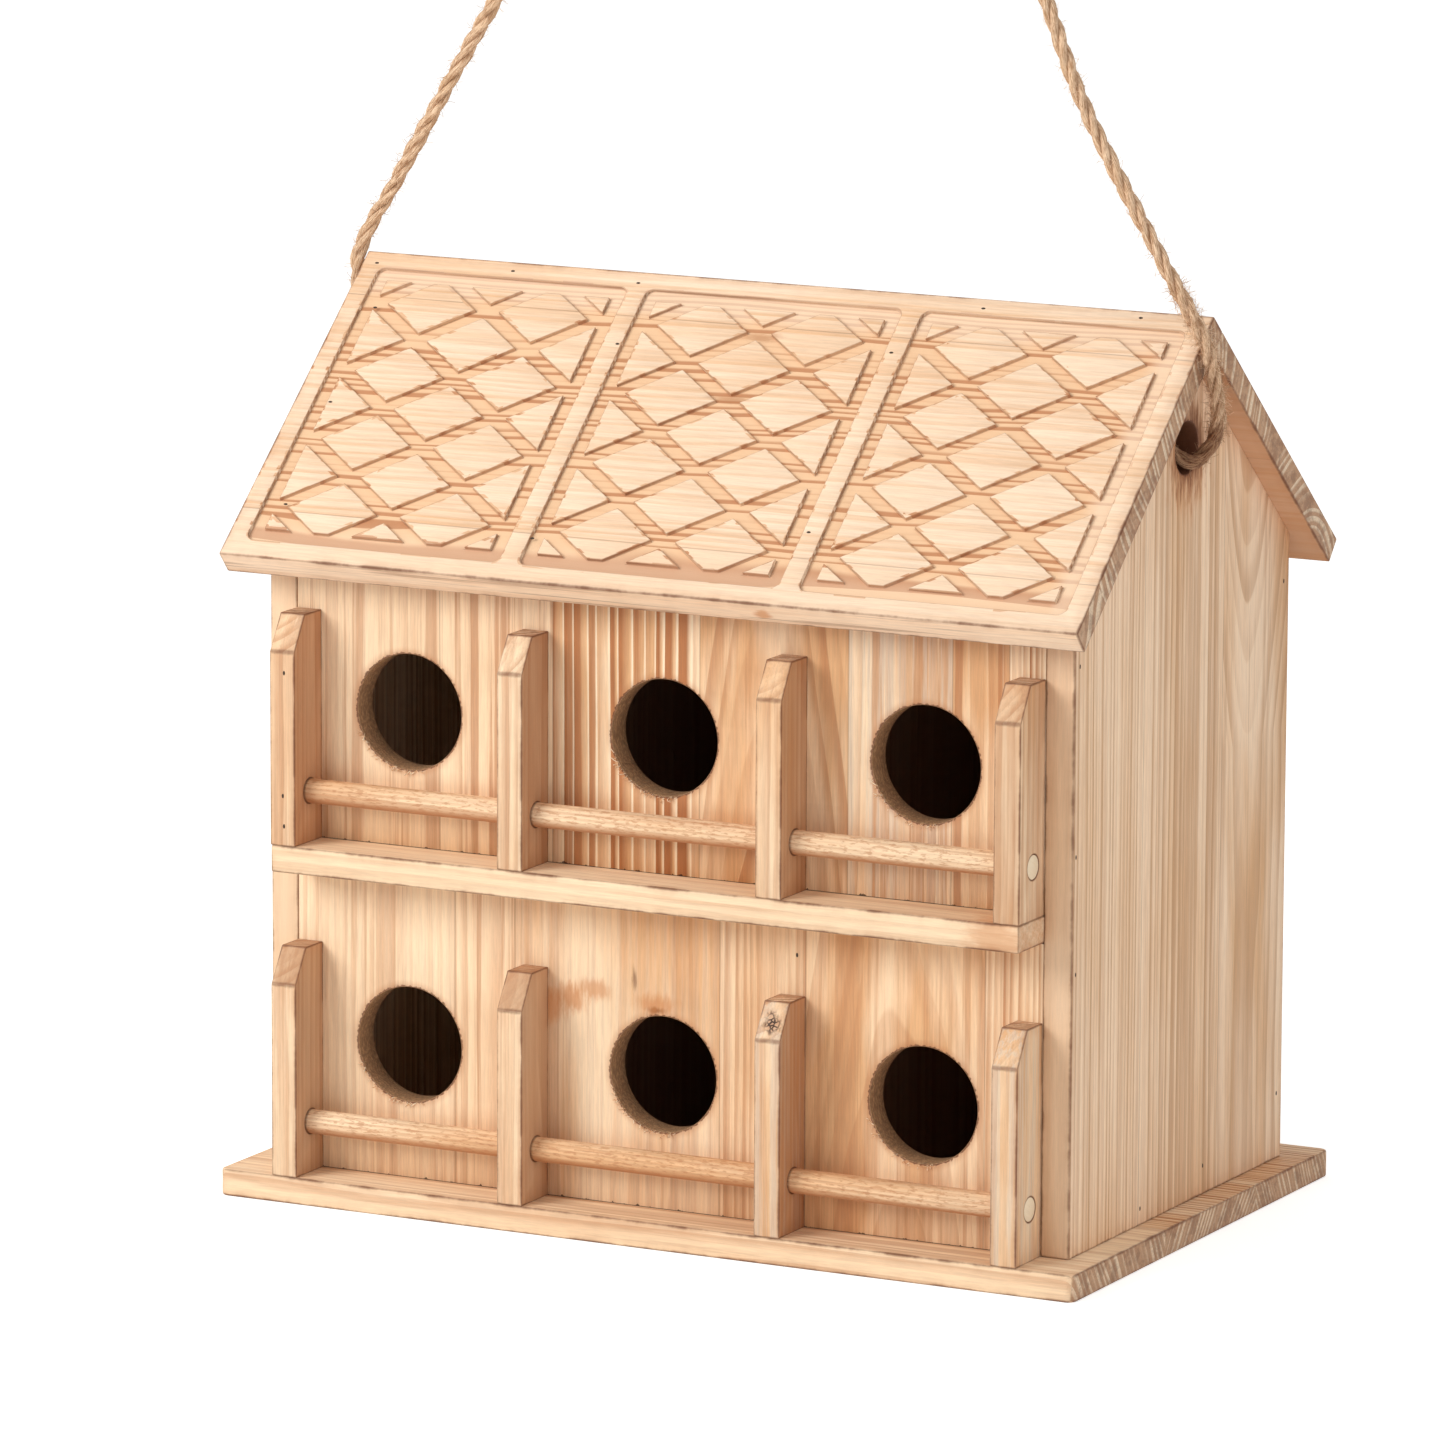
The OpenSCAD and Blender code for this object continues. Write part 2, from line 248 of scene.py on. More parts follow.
def build_grain():
    """Growth rings round a pith that runs along X, and the streaks and fibres that the brush leaves."""
    tree, sheet, given, out = new_group("Sawn grain", [
        ("Vector", "Vector", (0, 0, 0)), ("Pith", "Vector", (0, 0, -0.05)), ("Ring width", "Float", 0.003),
        ("Wander", "Float", 0.004), ("Taper", "Float", 0.02), ("Taper start", "Float", -10.0),
        ("Strip", "Float", 0.0)], ["Ring", "Early", "Tone", "Band", "Streak", "Line", "Fibre"])
    _, strip_vector = sheet.chance(given["Strip"])
    apart = sheet.node("ShaderNodeVectorMath", {0: strip_vector, "Scale": 3.0}, operation="SCALE")
    shifted = sheet.vector("ADD", given["Vector"], apart)

    # Rings wander slowly along the trunk and are of uneven width and strength
    drift = sheet.noise(sheet.vector("MULTIPLY", shifted, (6.0, 26.0, 26.0)), 1.0, 2.0, output=1)
    drift = sheet.vector("MULTIPLY", sheet.vector("SUBTRACT", drift, (0.5, 0.5, 0.5)),
                         sheet.join(0.0, given["Wander"], given["Wander"]))
    from_pith = sheet.vector("ADD", sheet.vector("SUBTRACT", given["Vector"], given["Pith"]), drift)
    radius = sheet.vector("LENGTH", sheet.vector("MULTIPLY", from_pith, (0.0, 1.0, 1.0)), output=1)
    along = sheet.math("MAXIMUM", sheet.split(given["Vector"])[0], given["Taper start"])
    radius = sheet.math("ADD", radius, sheet.math("MULTIPLY", along, given["Taper"]))
    uneven = sheet.noise(sheet.join(sheet.math("MULTIPLY", radius, 110.0), given["Strip"], 0.0), 1.0, 1.0)
    phase = sheet.math("ADD", sheet.math("DIVIDE", radius, given["Ring width"]), sheet.math("MULTIPLY", uneven, 2.5))
    year, _ = sheet.chance(sheet.math("ADD", sheet.math("FLOOR", phase), sheet.math("MULTIPLY", given["Strip"], 31.0)))
    part = sheet.math("FRACT", phase)
    ring = sheet.math("MULTIPLY", sheet.ramp(part, 0.22, 0.85), sheet.ramp(part, 0.93, 1.0, 1.0, 0.0))
    strength = sheet.ramp(year, 0.0, 1.0, 0.25, 1.0)
    sheet.put(out.inputs["Ring"], sheet.math("MULTIPLY", ring, strength))
    sheet.put(out.inputs["Early"], sheet.ramp(part, 0.0, 0.25, 1.0, 0.0))

    # Broad patches, long soft streaks and short fibres, each far finer across the board than along it
    for name, scale, detail, roughness in (("Tone", (8.0, 45.0, 45.0), 3.0, 0.5), ("Streak", (9.0, 420.0, 420.0), 4.0, 0.7),
                                           ("Fibre", (90.0, 1500.0, 1500.0), 4.0, 0.7)):
        texture = sheet.noise(sheet.vector("MULTIPLY", shifted, scale), 1.0, detail, roughness)
        sheet.put(out.inputs[name], texture)
    lines = sheet.noise(sheet.vector("MULTIPLY", shifted, (3.0, 850.0, 850.0)), 1.0, 2.0, 0.6)
    sheet.put(out.inputs["Line"], sheet.ramp(lines, 0.58, 0.66))
    bands = sheet.noise(sheet.vector("MULTIPLY", shifted, (2.5, 190.0, 60.0)), 1.0, 5.0, 0.62)
    sheet.put(out.inputs["Band"], sheet.ramp(bands, 0.51, 0.585))
    return tree


def build_arris():
    """Thin uneven line along the edges of a board; a slanted cut adds its own edges."""
    tree, sheet, given, out = new_group("Burnt arris", [
        ("Vector", "Vector", (0, 0, 0)), ("Half size", "Vector", (1, 1, 1)), ("Cut normal", "Vector", (0, 0, 0)),
        ("Cut distance", "Float", 10.0), ("Width", "Float", 0.0008)], ["Line", "Scorch"])
    beyond = sheet.vector("SUBTRACT", sheet.vector("ABSOLUTE", given["Vector"]), given["Half size"])
    a, b, c = sheet.split(beyond)
    d = sheet.math("SUBTRACT", sheet.vector("DOT_PRODUCT", given["Vector"], given["Cut normal"], output=1),
                   given["Cut distance"])
    tops = sheet.math("MINIMUM", sheet.math("MAXIMUM", a, b), sheet.math("MAXIMUM", c, d))
    lows = sheet.math("MAXIMUM", sheet.math("MINIMUM", a, b), sheet.math("MINIMUM", c, d))
    second = sheet.math("MULTIPLY", sheet.math("MAXIMUM", tops, lows), -1.0)
    wobble = sheet.noise(given["Vector"], 90.0, 4.0, 0.6)
    width = sheet.math("MULTIPLY", given["Width"], sheet.ramp(wobble, 0.3, 0.7, 0.7, 1.4))
    near = sheet.math("DIVIDE", second, width)
    strength = sheet.ramp(wobble, 0.35, 0.65, 0.5, 1.0)
    sheet.put(out.inputs["Line"], sheet.math("MULTIPLY", sheet.ramp(near, 0.2, 1.0, 1.0, 0.0), strength))
    scorch = sheet.ramp(second, 0.0, 0.005, 1.0, 0.0)
    sheet.put(out.inputs["Scorch"], sheet.math("MULTIPLY", scorch, sheet.ramp(wobble, 0.35, 0.75, 0.2, 1.0)))
    return tree


def build_holes():
    """Wall, rim line and soft scorch of round holes in a row, in the holes' own plane."""
    tree, sheet, given, out = new_group("Round holes", [
        ("Across", "Float", 0.0), ("Up", "Float", 0.0), ("Pitch", "Float", 0.093), ("Reach", "Float", 1.0),
        ("Radius", "Float", 0.019)], ["Wall", "Rim", "Scorch"])
    number = sheet.math("ROUND", sheet.math("DIVIDE", given["Across"], given["Pitch"]))
    number = sheet.math("MAXIMUM", sheet.math("MINIMUM", number, given["Reach"]),
                        sheet.math("MULTIPLY", given["Reach"], -1.0))
    across = sheet.math("SUBTRACT", given["Across"], sheet.math("MULTIPLY", number, given["Pitch"]))
    spot = sheet.join(across, given["Up"], 0.0)
    distance = sheet.vector("LENGTH", spot, output=1)
    beyond = sheet.math("SUBTRACT", distance, given["Radius"])
    ragged = sheet.noise(spot, 900.0, 3.0)
    sheet.put(out.inputs["Wall"], sheet.ramp(beyond, 0.0001, 0.0003, 1.0, 0.0))
    edge = sheet.math("MULTIPLY", sheet.ramp(ragged, 0.3, 0.7, 0.4, 1.6), 0.0007)
    sheet.put(out.inputs["Rim"], sheet.ramp(sheet.math("DIVIDE", beyond, edge), 0.5, 1.0, 1.0, 0.0))
    sheet.put(out.inputs["Scorch"], sheet.ramp(beyond, 0.0, 0.003, 1.0, 0.0))
    return tree


def build_carving():
    """Distance from the edges of the carved grooves, negative inside them, from the field's own sizes."""
    tree, sheet, given, out = new_group("Carved field", [
        ("Across", "Float", 0.0), ("Down", "Float", 0.0), ("Field width", "Float", 0.093),
        ("Field length", "Float", 0.118), ("Step", "Float", 0.1), ("Groove", "Float", 0.005),
        ("Corner", "Float", 0.003), ("Rows", "Float", 4.0), ("Columns", "Float", 2.0)], ["Floor", "Edge", "Torn"])
    number = sheet.math("ROUND", sheet.math("DIVIDE", given["Across"], given["Step"]))
    across = sheet.math("SUBTRACT", given["Across"], sheet.math("MULTIPLY", number, given["Step"]))
    half_w = sheet.math("MULTIPLY", given["Field width"], 0.5)
    half_l = sheet.math("MULTIPLY", given["Field length"], 0.5)
    off_x = sheet.math("SUBTRACT", sheet.math("ABSOLUTE", across), half_w)
    off_y = sheet.math("SUBTRACT", sheet.math("ABSOLUTE", given["Down"]), half_l)
    square = sheet.math("MAXIMUM", off_x, off_y)
    in_corner = sheet.join(sheet.math("MAXIMUM", sheet.math("ADD", off_x, given["Corner"]), 0.0),
                           sheet.math("MAXIMUM", sheet.math("ADD", off_y, given["Corner"]), 0.0), 0.0)
    corner = sheet.math("SUBTRACT", sheet.vector("LENGTH", in_corner, output=1), given["Corner"])
    outside = sheet.math("MAXIMUM", square, corner)
    inner = sheet.math("ADD", square, given["Groove"])
    cell_w = sheet.math("DIVIDE", sheet.math("SUBTRACT", given["Field width"],
                                             sheet.math("MULTIPLY", given["Groove"], 2.0)), given["Columns"])
    cell_l = sheet.math("DIVIDE", given["Field length"], given["Rows"])
    u = sheet.math("PINGPONG", sheet.math("DIVIDE", across, cell_w), 0.5)
    v = sheet.math("PINGPONG", sheet.math("DIVIDE", given["Down"], cell_l), 0.5)
    between = sheet.math("ABSOLUTE", sheet.math("SUBTRACT", sheet.math("ADD", u, v), 0.5))
    diagonal = sheet.vector("LENGTH", sheet.join(cell_w, cell_l, 0.0), output=1)
    scale = sheet.math("DIVIDE", sheet.math("MULTIPLY", cell_w, cell_l), diagonal)
    diamond = sheet.math("SUBTRACT", sheet.math("MULTIPLY", given["Groove"], 0.5),
                         sheet.math("MULTIPLY", between, scale))
    raised = sheet.math("MAXIMUM", inner, diamond)
    groove = sheet.math("MAXIMUM", outside, sheet.math("MULTIPLY", raised, -1.0))
    # Bits torn out along the grain where a groove crosses it, in rows of uneven height
    row = sheet.math("ADD", sheet.math("MULTIPLY", given["Down"], 620.0),
                     sheet.math("MULTIPLY", sheet.noise(sheet.join(given["Across"], given["Down"], 0.0), 45.0), 4.0))
    spot = sheet.math("ADD", sheet.math("FLOOR", row),
                      sheet.math("MULTIPLY", sheet.math("FLOOR", sheet.math("MULTIPLY", given["Across"], 90.0)), 13.0))
    torn, _ = sheet.chance(spot)
    torn = sheet.math("MULTIPLY", sheet.math("POWER", torn, 4.0), 0.0012)
    widened = sheet.math("SUBTRACT", groove, torn)
    sheet.put(out.inputs["Floor"], sheet.ramp(widened, -0.0001, 0.0002, 1.0, 0.0))
    sheet.put(out.inputs["Torn"], sheet.math("MULTIPLY", sheet.math("LESS_THAN", widened, 0.0),
                                             sheet.math("GREATER_THAN", groove, 0.0)))
    sheet.put(out.inputs["Edge"], sheet.ramp(sheet.math("ABSOLUTE", groove), 0.0001, 0.0004, 1.0, 0.0))
    return tree


def build_smear():
    """Soft ragged spot round a centre, for knots and scorch marks."""
    tree, sheet, given, out = new_group("Smear", [
        ("Vector", "Vector", (0, 0, 0)), ("Centre", "Vector", (0, 0, 0)), ("Size", "Vector", (0.01, 0.01, 0.01))],
        ["Mask"])
    ragged = sheet.noise(sheet.vector("MULTIPLY", given["Vector"], (90.0, 420.0, 420.0)), 1.0, 4.0, 0.65)
    away = sheet.vector("DIVIDE", sheet.vector("SUBTRACT", given["Vector"], given["Centre"]), given["Size"])
    away = sheet.vector("LENGTH", away, output=1)
    away = sheet.math("ADD", away, sheet.math("MULTIPLY", sheet.math("SUBTRACT", ragged, 0.5), 1.6))
    sheet.put(out.inputs["Mask"], sheet.ramp(away, 0.2, 1.0, 1.0, 0.0))
    return tree


def smears(groups, sheet, local, colour, spots):
    """Scorches a colour at spots: centre and half size in millimetres of board space, strength, and tint."""
    look = settings("wood")
    for centre, size, strength, tint in spots:
        mask = sheet.group(groups["smear"], Vector=local, Centre=[c * MM for c in centre],
                           Size=[s * MM for s in size])["Mask"]
        colour = sheet.mix(sheet.math("MULTIPLY", mask, strength), colour, linear(getattr(look, tint)))
    return colour


def new_material(name):
    material = bpy.data.materials.new(name)
    material.use_nodes = True
    tree = material.node_tree
    shader = tree.nodes["Principled BSDF"]
    return material, Sheet(tree), shader


def board_space(sheet, centre, turn):
    """Object coordinates turned into a board's own: X along the grain, Y across it, Z through it."""
    place = sheet.node("ShaderNodeTexCoord", output=3)
    normal = sheet.last.outputs["Normal"]
    angles = turn.to_euler()
    local = sheet.node("ShaderNodeMapping", {"Vector": place, "Location": centre, "Rotation": angles},
                       vector_type="TEXTURE")
    facing = sheet.node("ShaderNodeMapping", {"Vector": normal, "Location": (0, 0, 0), "Rotation": angles},
                        vector_type="TEXTURE")
    return local, facing


UPRIGHT = Matrix(((0, 1, 0), (0, 0, 1), (1, 0, 0)))
UPRIGHT_SIDE = Euler((0, math.radians(-90), 0)).to_matrix()
LEVEL = Matrix.Identity(3)


def steps(sheet, across, edges, values):
    """Value of the strip that a place lies in; edges part the strips."""
    if not edges or all(value == values[0] for value in values):
        return float(values[0])
    total = values[0]
    for edge, before, after in zip(edges, values, values[1:]):
        total = sheet.math("ADD", total, sheet.math("MULTIPLY", sheet.math("GREATER_THAN", across, edge),
                                                    after - before))
    return total


def strip(pith=(0, -30), ring=3.0, contrast=0.5, warmth=0.4, grey=0.0, wander=6, taper=0.0, start=-9999, band=0.3):
    """One of the strips that a board is glued up from, in millimetres: where its pith lies, and its colouring."""
    return {"pith_y": pith[0] * MM, "pith_z": pith[1] * MM, "ring": ring * MM, "contrast": contrast,
            "warmth": warmth, "grey": grey, "wander": wander * MM, "taper": taper, "start": start * MM,
            "band": band}


def figure(sheet, groups, local, strips, edges, seed, colours):
    """Colour and height of glued-up wood, with the masks that other effects go by."""
    look = settings("wood")
    across = sheet.split(local)[1]
    edges = [edge * MM for edge in edges]
    value = {key: steps(sheet, across, edges, [part[key] for part in strips]) for key in strips[0]}
    number = steps(sheet, across, edges, [seed + i for i in range(len(strips))])
    ring, early, tone, band, streak, line, fibre = sheet.group(
        groups["grain"], Vector=local, Pith=sheet.join(0.0, value["pith_y"], value["pith_z"]),
        Ring_width=value["ring"], Wander=value["wander"], Taper=value["taper"], Taper_start=value["start"],
        Strip=number)
    pale, late = (linear(getattr(look, key)) for key in colours)
    warm = sheet.math("MULTIPLY", sheet.ramp(tone, 0.35, 0.7), value["warmth"])
    colour = sheet.mix(warm, pale, linear(look.warm))
    colour = sheet.mix(sheet.math("MULTIPLY", band, value["band"]), colour, late)
    colour = sheet.mix(sheet.math("MULTIPLY", sheet.ramp(streak, 0.42, 0.62), value["grey"]), colour, linear(look.ash))
    browned = sheet.math("MULTIPLY", sheet.math("MULTIPLY", ring, sheet.ramp(tone, 0.25, 0.6, 0.6, 1.0)),
                         value["contrast"])
    colour = sheet.mix(browned, colour, late)
    brushed = sheet.math("MULTIPLY", early, sheet.math("SUBTRACT", value["contrast"], 0.6, clamp=True), clamp=True)
    colour = sheet.mix(brushed, colour, linear(look.fresh))
    long_streak = sheet.math("MULTIPLY", sheet.ramp(streak, 0.54, 0.66), 0.22)
    colour = sheet.mix(long_streak, colour, late)
    colour = sheet.mix(sheet.math("MULTIPLY", line, 0.14), colour, late)
    fine = sheet.ramp(fibre, 0.36, 0.64, 0.93, 1.05)
    colour = sheet.mix(1.0, colour, sheet.join(fine, fine, fine), "MULTIPLY")
    height = sheet.math("ADD", sheet.math("MULTIPLY", ring, value["contrast"]), sheet.math("MULTIPLY", fibre, 0.5))
    for edge in edges:
        seam = sheet.ramp(sheet.math("ABSOLUTE", sheet.math("SUBTRACT", across, edge)), 0.0, 0.0004, 0.4, 0.0)
        colour = sheet.mix(seam, colour, linear(look.burnt))
    return colour, height, ring, tone, fibre


def cut_ends(sheet, colour, ring, fibre, facing, share=0.95):
    """Greyer wood on the faces cut across the grain, with light rings."""
    look = settings("wood")
    endness = sheet.math("ABSOLUTE", sheet.split(facing)[0])
    end = sheet.mix(sheet.ramp(ring, 0.1, 0.7), linear(look.end_grain), linear(look.end_ring))
    blotch = sheet.noise(sheet.node("ShaderNodeTexCoord", output=3), 160.0, 4.0, 0.7)
    end = sheet.mix(sheet.ramp(blotch, 0.45, 0.62, 0.0, 0.5), end, linear(look.burnt))
    fine = sheet.ramp(fibre, 0.36, 0.64, 0.84, 1.1)
    end = sheet.mix(1.0, end, sheet.join(fine, fine, fine), "MULTIPLY")
    return sheet.mix(sheet.ramp(endness, 0.55, 0.8, 0.0, share), colour, end)


def burn_arrises(sheet, groups, colour, local, half, strength, width, cut=None):
    """Browned edges of a board; local has its origin in the board's middle."""
    look = settings("wood")
    cut_normal, cut_distance = cut or ((0, 0, 0), 10.0)
    line, scorch = sheet.group(groups["arris"], Vector=local, Half_size=half, Cut_normal=cut_normal,
                               Cut_distance=cut_distance, Width=width)
    colour = sheet.mix(sheet.math("MULTIPLY", scorch, 0.35 * strength), colour, linear(look.streak))
    return sheet.mix(sheet.math("MULTIPLY", line, strength), colour, linear(look.burnt))


def finish_shader(sheet, shader, colour, height, fibre, relief=0.3 * MM, strength=0.5):
    sheet.put(shader.inputs["Base Color"], colour)
    sheet.put(shader.inputs["Roughness"], sheet.ramp(fibre, 0.2, 0.8, 0.62, 0.82))
    bump = sheet.node("ShaderNodeBump", {"Strength": strength, "Distance": relief, "Height": height})
    sheet.put(shader.inputs["Normal"], bump)


def wood(name, groups, low, high, turn=LEVEL, colours=("pale", "streak"), strips=None, edges=(), seed=0.0,
         arris=0.6 * MM, burn=0.6, cut=None, mask=None, relief=0.3 * MM, ends=0.95):
    """Burnt and brushed wood of one board; low and high are its corners, mask adds holes, scorch, notches and painted
    light and shade.
    """
    material, sheet, shader = new_material(name)
    half = (high - low) / 2
    half_local = [sum(abs(turn[row][column]) * half[row] for row in range(3)) for column in range(3)]
    local, facing = board_space(sheet, (low + high) / 2, turn)
    colour, height, ring, tone, fibre = figure(sheet, groups, local, strips or [strip()], edges, seed, colours)
    colour = cut_ends(sheet, colour, ring, fibre, facing, ends)
    if mask is not None:
        colour, height = mask(sheet, local, facing, colour, height)
    if burn:
        colour = burn_arrises(sheet, groups, colour, local, half_local, burn, arris, cut)
    finish_shader(sheet, shader, colour, height, fibre, relief)
    return material


def entrance_mask(groups, hole_z, centre, spots):
    """Adds the dark foot line, the row of entrance holes and scorched spots to a front wall's colour."""
    def mask(sheet, local, facing, colour, height):
        look = settings("wood")
        up, across, through = sheet.split(local)
        # A dark line along the foot, painted shade of the gap where the wall stands on the floor board, with notches
        # where the brush has torn the end grain
        foot = sheet.math("ADD", up, centre.z - (hole_z - HOLE_RISE))
        ragged = sheet.noise(sheet.join(sheet.math("MULTIPLY", across, 260.0), 0.0, hole_z), 1.0, 4.0, 0.7)
        foot_shade_and_notch = sheet.math("SUBTRACT", foot, sheet.ramp(ragged, 0.52, 0.8, 0.15 * MM, 1.3 * MM))
        foot_shade_and_notch = sheet.ramp(foot_shade_and_notch, 0.0, 0.2 * MM, 0.85, 0.0)
        colour = sheet.mix(foot_shade_and_notch, colour, linear(look.char))
        colour = smears(groups, sheet, local, colour, spots)
        up = sheet.math("SUBTRACT", up, hole_z - centre.z)
        wall, rim, scorch = sheet.group(groups["holes"], Across=across, Up=up, Pitch=HOLE_PITCH, Radius=HOLE_RADIUS)
        colour = sheet.mix(sheet.math("MULTIPLY", scorch, 0.45), colour, linear(look.streak))
        colour = sheet.mix(sheet.math("MULTIPLY", rim, 0.9), colour, linear(look.burnt))
        # The saw left the hole's wall rough, with short upright fibres
        saw = sheet.noise(sheet.join(sheet.math("MULTIPLY", across, 1500.0), sheet.math("MULTIPLY", up, 500.0),
                                     sheet.math("MULTIPLY", through, 1500.0)), 1.0, 3.0, 0.7)
        inside = sheet.mix(sheet.ramp(saw, 0.35, 0.9), linear(look.hole_wall), linear(look.warm))
        colour = sheet.mix(wall, colour, inside)
        return colour, sheet.math("ADD", height, sheet.math("MULTIPLY", sheet.math("MULTIPLY", wall, saw), 1.5))
    return mask


def chamber_shade_mask(side):
    """Painted shade on the wood that looks into the dark chambers: 0 shades every face."""
    def mask(sheet, local, facing, colour, height):
        # Painted shade, on the back wall's inner face and on every face of the dividers
        share = sheet.ramp(sheet.math("MULTIPLY", sheet.split(facing)[2], side), 0.3, 0.6, 0.0, 0.8) if side else 0.8
        return sheet.mix(share, colour, linear(settings("wood").chamber_shade)), height
    return mask


def rope_hole_mask(groups, centre):
    """Adds painted light on the front edge, and the rope hole, to a side wall's colour."""
    def mask(sheet, local, facing, colour, height):
        look = settings("wood")
        # Painted light: the narrow front edge is paler than the side, more on the left wall, which faces the key lamp
        front = sheet.ramp(sheet.split(facing)[1], -0.9, -0.6, 0.5 if centre.x < 0 else 0.25, 0.0)
        colour = sheet.mix(front, colour, linear(look.pale))
        up, across, _ = sheet.split(local)
        up = sheet.math("SUBTRACT", up, ROPE_HOLE_Z - centre.z)
        wall, rim, scorch = sheet.group(groups["holes"], Across=across, Up=up, Pitch=1.0, Reach=0.0,
                                        Radius=ROPE_HOLE_RADIUS)
        colour = sheet.mix(sheet.math("MULTIPLY", scorch, 0.6), colour, linear(look.streak))
        hole = ROPE_HOLE_Z - centre.z
        spots = [((hole / MM - 2, 2, 0), (24, 20, 99), 0.9, "resin"), ((hole / MM - 1, 2, 0), (19, 17, 99), 0.9, "burnt")]
        colour = smears(groups, sheet, local, colour, spots)
        colour = sheet.mix(sheet.math("MULTIPLY", rim, 0.85), colour, linear(look.burnt))
        return sheet.mix(sheet.math("MULTIPLY", wall, 0.85), colour, linear(look.burnt)), height
    return mask


def carving_mask(groups):
    """Adds the carved grooves to the front roof board's colour."""
    width = 2 * ROOF_HALF
    field_width = (width - (FIELD_COUNT + 1) * FIELD_BAND) / FIELD_COUNT
    field_length = SLOPE_LENGTH - 2 * FIELD_BAND

    def mask(sheet, local, colour, height, ring, tone):
        look = settings("wood")
        across, down, _ = sheet.split(local)
        down = sheet.math("ADD", down, SLOPE_LENGTH / 2)
        floor, edge, torn = sheet.group(
            groups["carving"], Across=across, Down=down, Field_width=field_width, Field_length=field_length,
            Step=field_width + FIELD_BAND, Groove=GROOVE_WIDTH, Corner=FIELD_CORNER, Rows=float(DIAMOND_ROWS),
            Columns=float(DIAMOND_COLUMNS))
        groove = sheet.mix(sheet.ramp(ring, 0.15, 0.7), linear(look.groove), linear(look.groove_streak))
        # Near the ridge and the right end the cutter met paler wood; the grooves are also paler towards the eave
        pale = sheet.math("MAXIMUM", sheet.ramp(down, 47 * MM, 52 * MM, 0.0, 0.6),
                          sheet.ramp(across, 136 * MM, 143 * MM, 0.0, 0.55))
        pale = sheet.math("MAXIMUM", pale, sheet.ramp(down, -56 * MM, -46 * MM, 0.3, 0.0))
        groove = sheet.mix(pale, groove, linear(look.roof))
        colour = sheet.mix(floor, colour, groove)
        colour = sheet.mix(sheet.math("MULTIPLY", torn, 0.35), colour, linear(look.groove_streak))
        return sheet.mix(sheet.math("MULTIPLY", edge, 0.35), colour, linear(look.burnt)), height
    return mask


def finish_board(node, material, arris=None, groove_depth=0.0):
    """Copy of a board with softened arrises, which stands for the node."""
    look = settings("wood")
    arris = look.arris if arris is None else arris
    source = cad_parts[node]
    mesh = source.data.copy()
    mesh.name = node + "_board"
    mesh.materials.clear()
    mesh.materials.append(material)
    shape = bmesh.new()
    shape.from_mesh(mesh)
    bmesh.ops.remove_doubles(shape, verts=shape.verts, dist=1e-6)
    bmesh.ops.dissolve_limit(shape, angle_limit=math.radians(0.3), verts=shape.verts, edges=shape.edges)
    bmesh.ops.recalc_face_normals(shape, faces=shape.faces)
    weights = shape.edges.layers.float.new("bevel_weight_edge")
    low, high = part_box(node)
    for edge in shape.edges:
        sharp = len(edge.link_faces) == 2 and edge.calc_face_angle() > math.radians(28)
        edge[weights] = (look.groove_arris / arris if groove_depth and carved(edge) else 1.0) if sharp else 0.0
    for face in shape.faces:
        face.smooth = True
    shape.to_mesh(mesh)
    shape.free()
    piece = bpy.data.objects.new(node + "_board", mesh)
    bpy.context.scene.collection.objects.link(piece)
    bevel = piece.modifiers.new("Softened arrises", "BEVEL")
    bevel.limit_method = "WEIGHT"
    bevel.width = arris
    bevel.segments = 2
    bevel.harden_normals = True
    make_plain(piece)
    place(piece, node, slot=None)
    return piece


def carved(edge):
    """Whether both ends of an edge lie inside the roof board's outline, where only the carving has edges."""
    ends = [roof_place(vertex.co) for vertex in edge.verts]
    margin = FIELD_BAND / 2
    return all(abs(x) < ROOF_HALF - margin and margin < s < SLOPE_LENGTH - margin for x, s in ends)


def roof_place(point):
    """Place of a point on the front roof board: X, and the distance down the slope from the ridge."""
    return point.x, -point.y * math.cos(ROOF_PITCH) + (RIDGE_Z - point.z) * math.sin(ROOF_PITCH)


def make_plain(piece):
    """Turns what the modifiers make into a plain mesh."""
    shown = bpy.context.evaluated_depsgraph_get()
    mesh = bpy.data.meshes.new_from_object(piece.evaluated_get(shown), preserve_all_data_layers=True, depsgraph=shown)
    piece.modifiers.clear()
    piece.data = mesh


def place(piece, *nodes, slot=None):
    """Lets a piece ride on the body and stand for its nodes; slot is not used."""
    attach(piece, BODY)
    if nodes:
        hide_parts(*nodes)


def wood_groups():
    """Shared shader groups, built once."""
    builders = {"grain": ("Sawn grain", build_grain), "arris": ("Burnt arris", build_arris),
                "holes": ("Round holes", build_holes), "carving": ("Carved field", build_carving),
                "smear": ("Smear", build_smear)}
    return {key: bpy.data.node_groups.get(name) or build() for key, (name, build) in builders.items()}


# Pieces

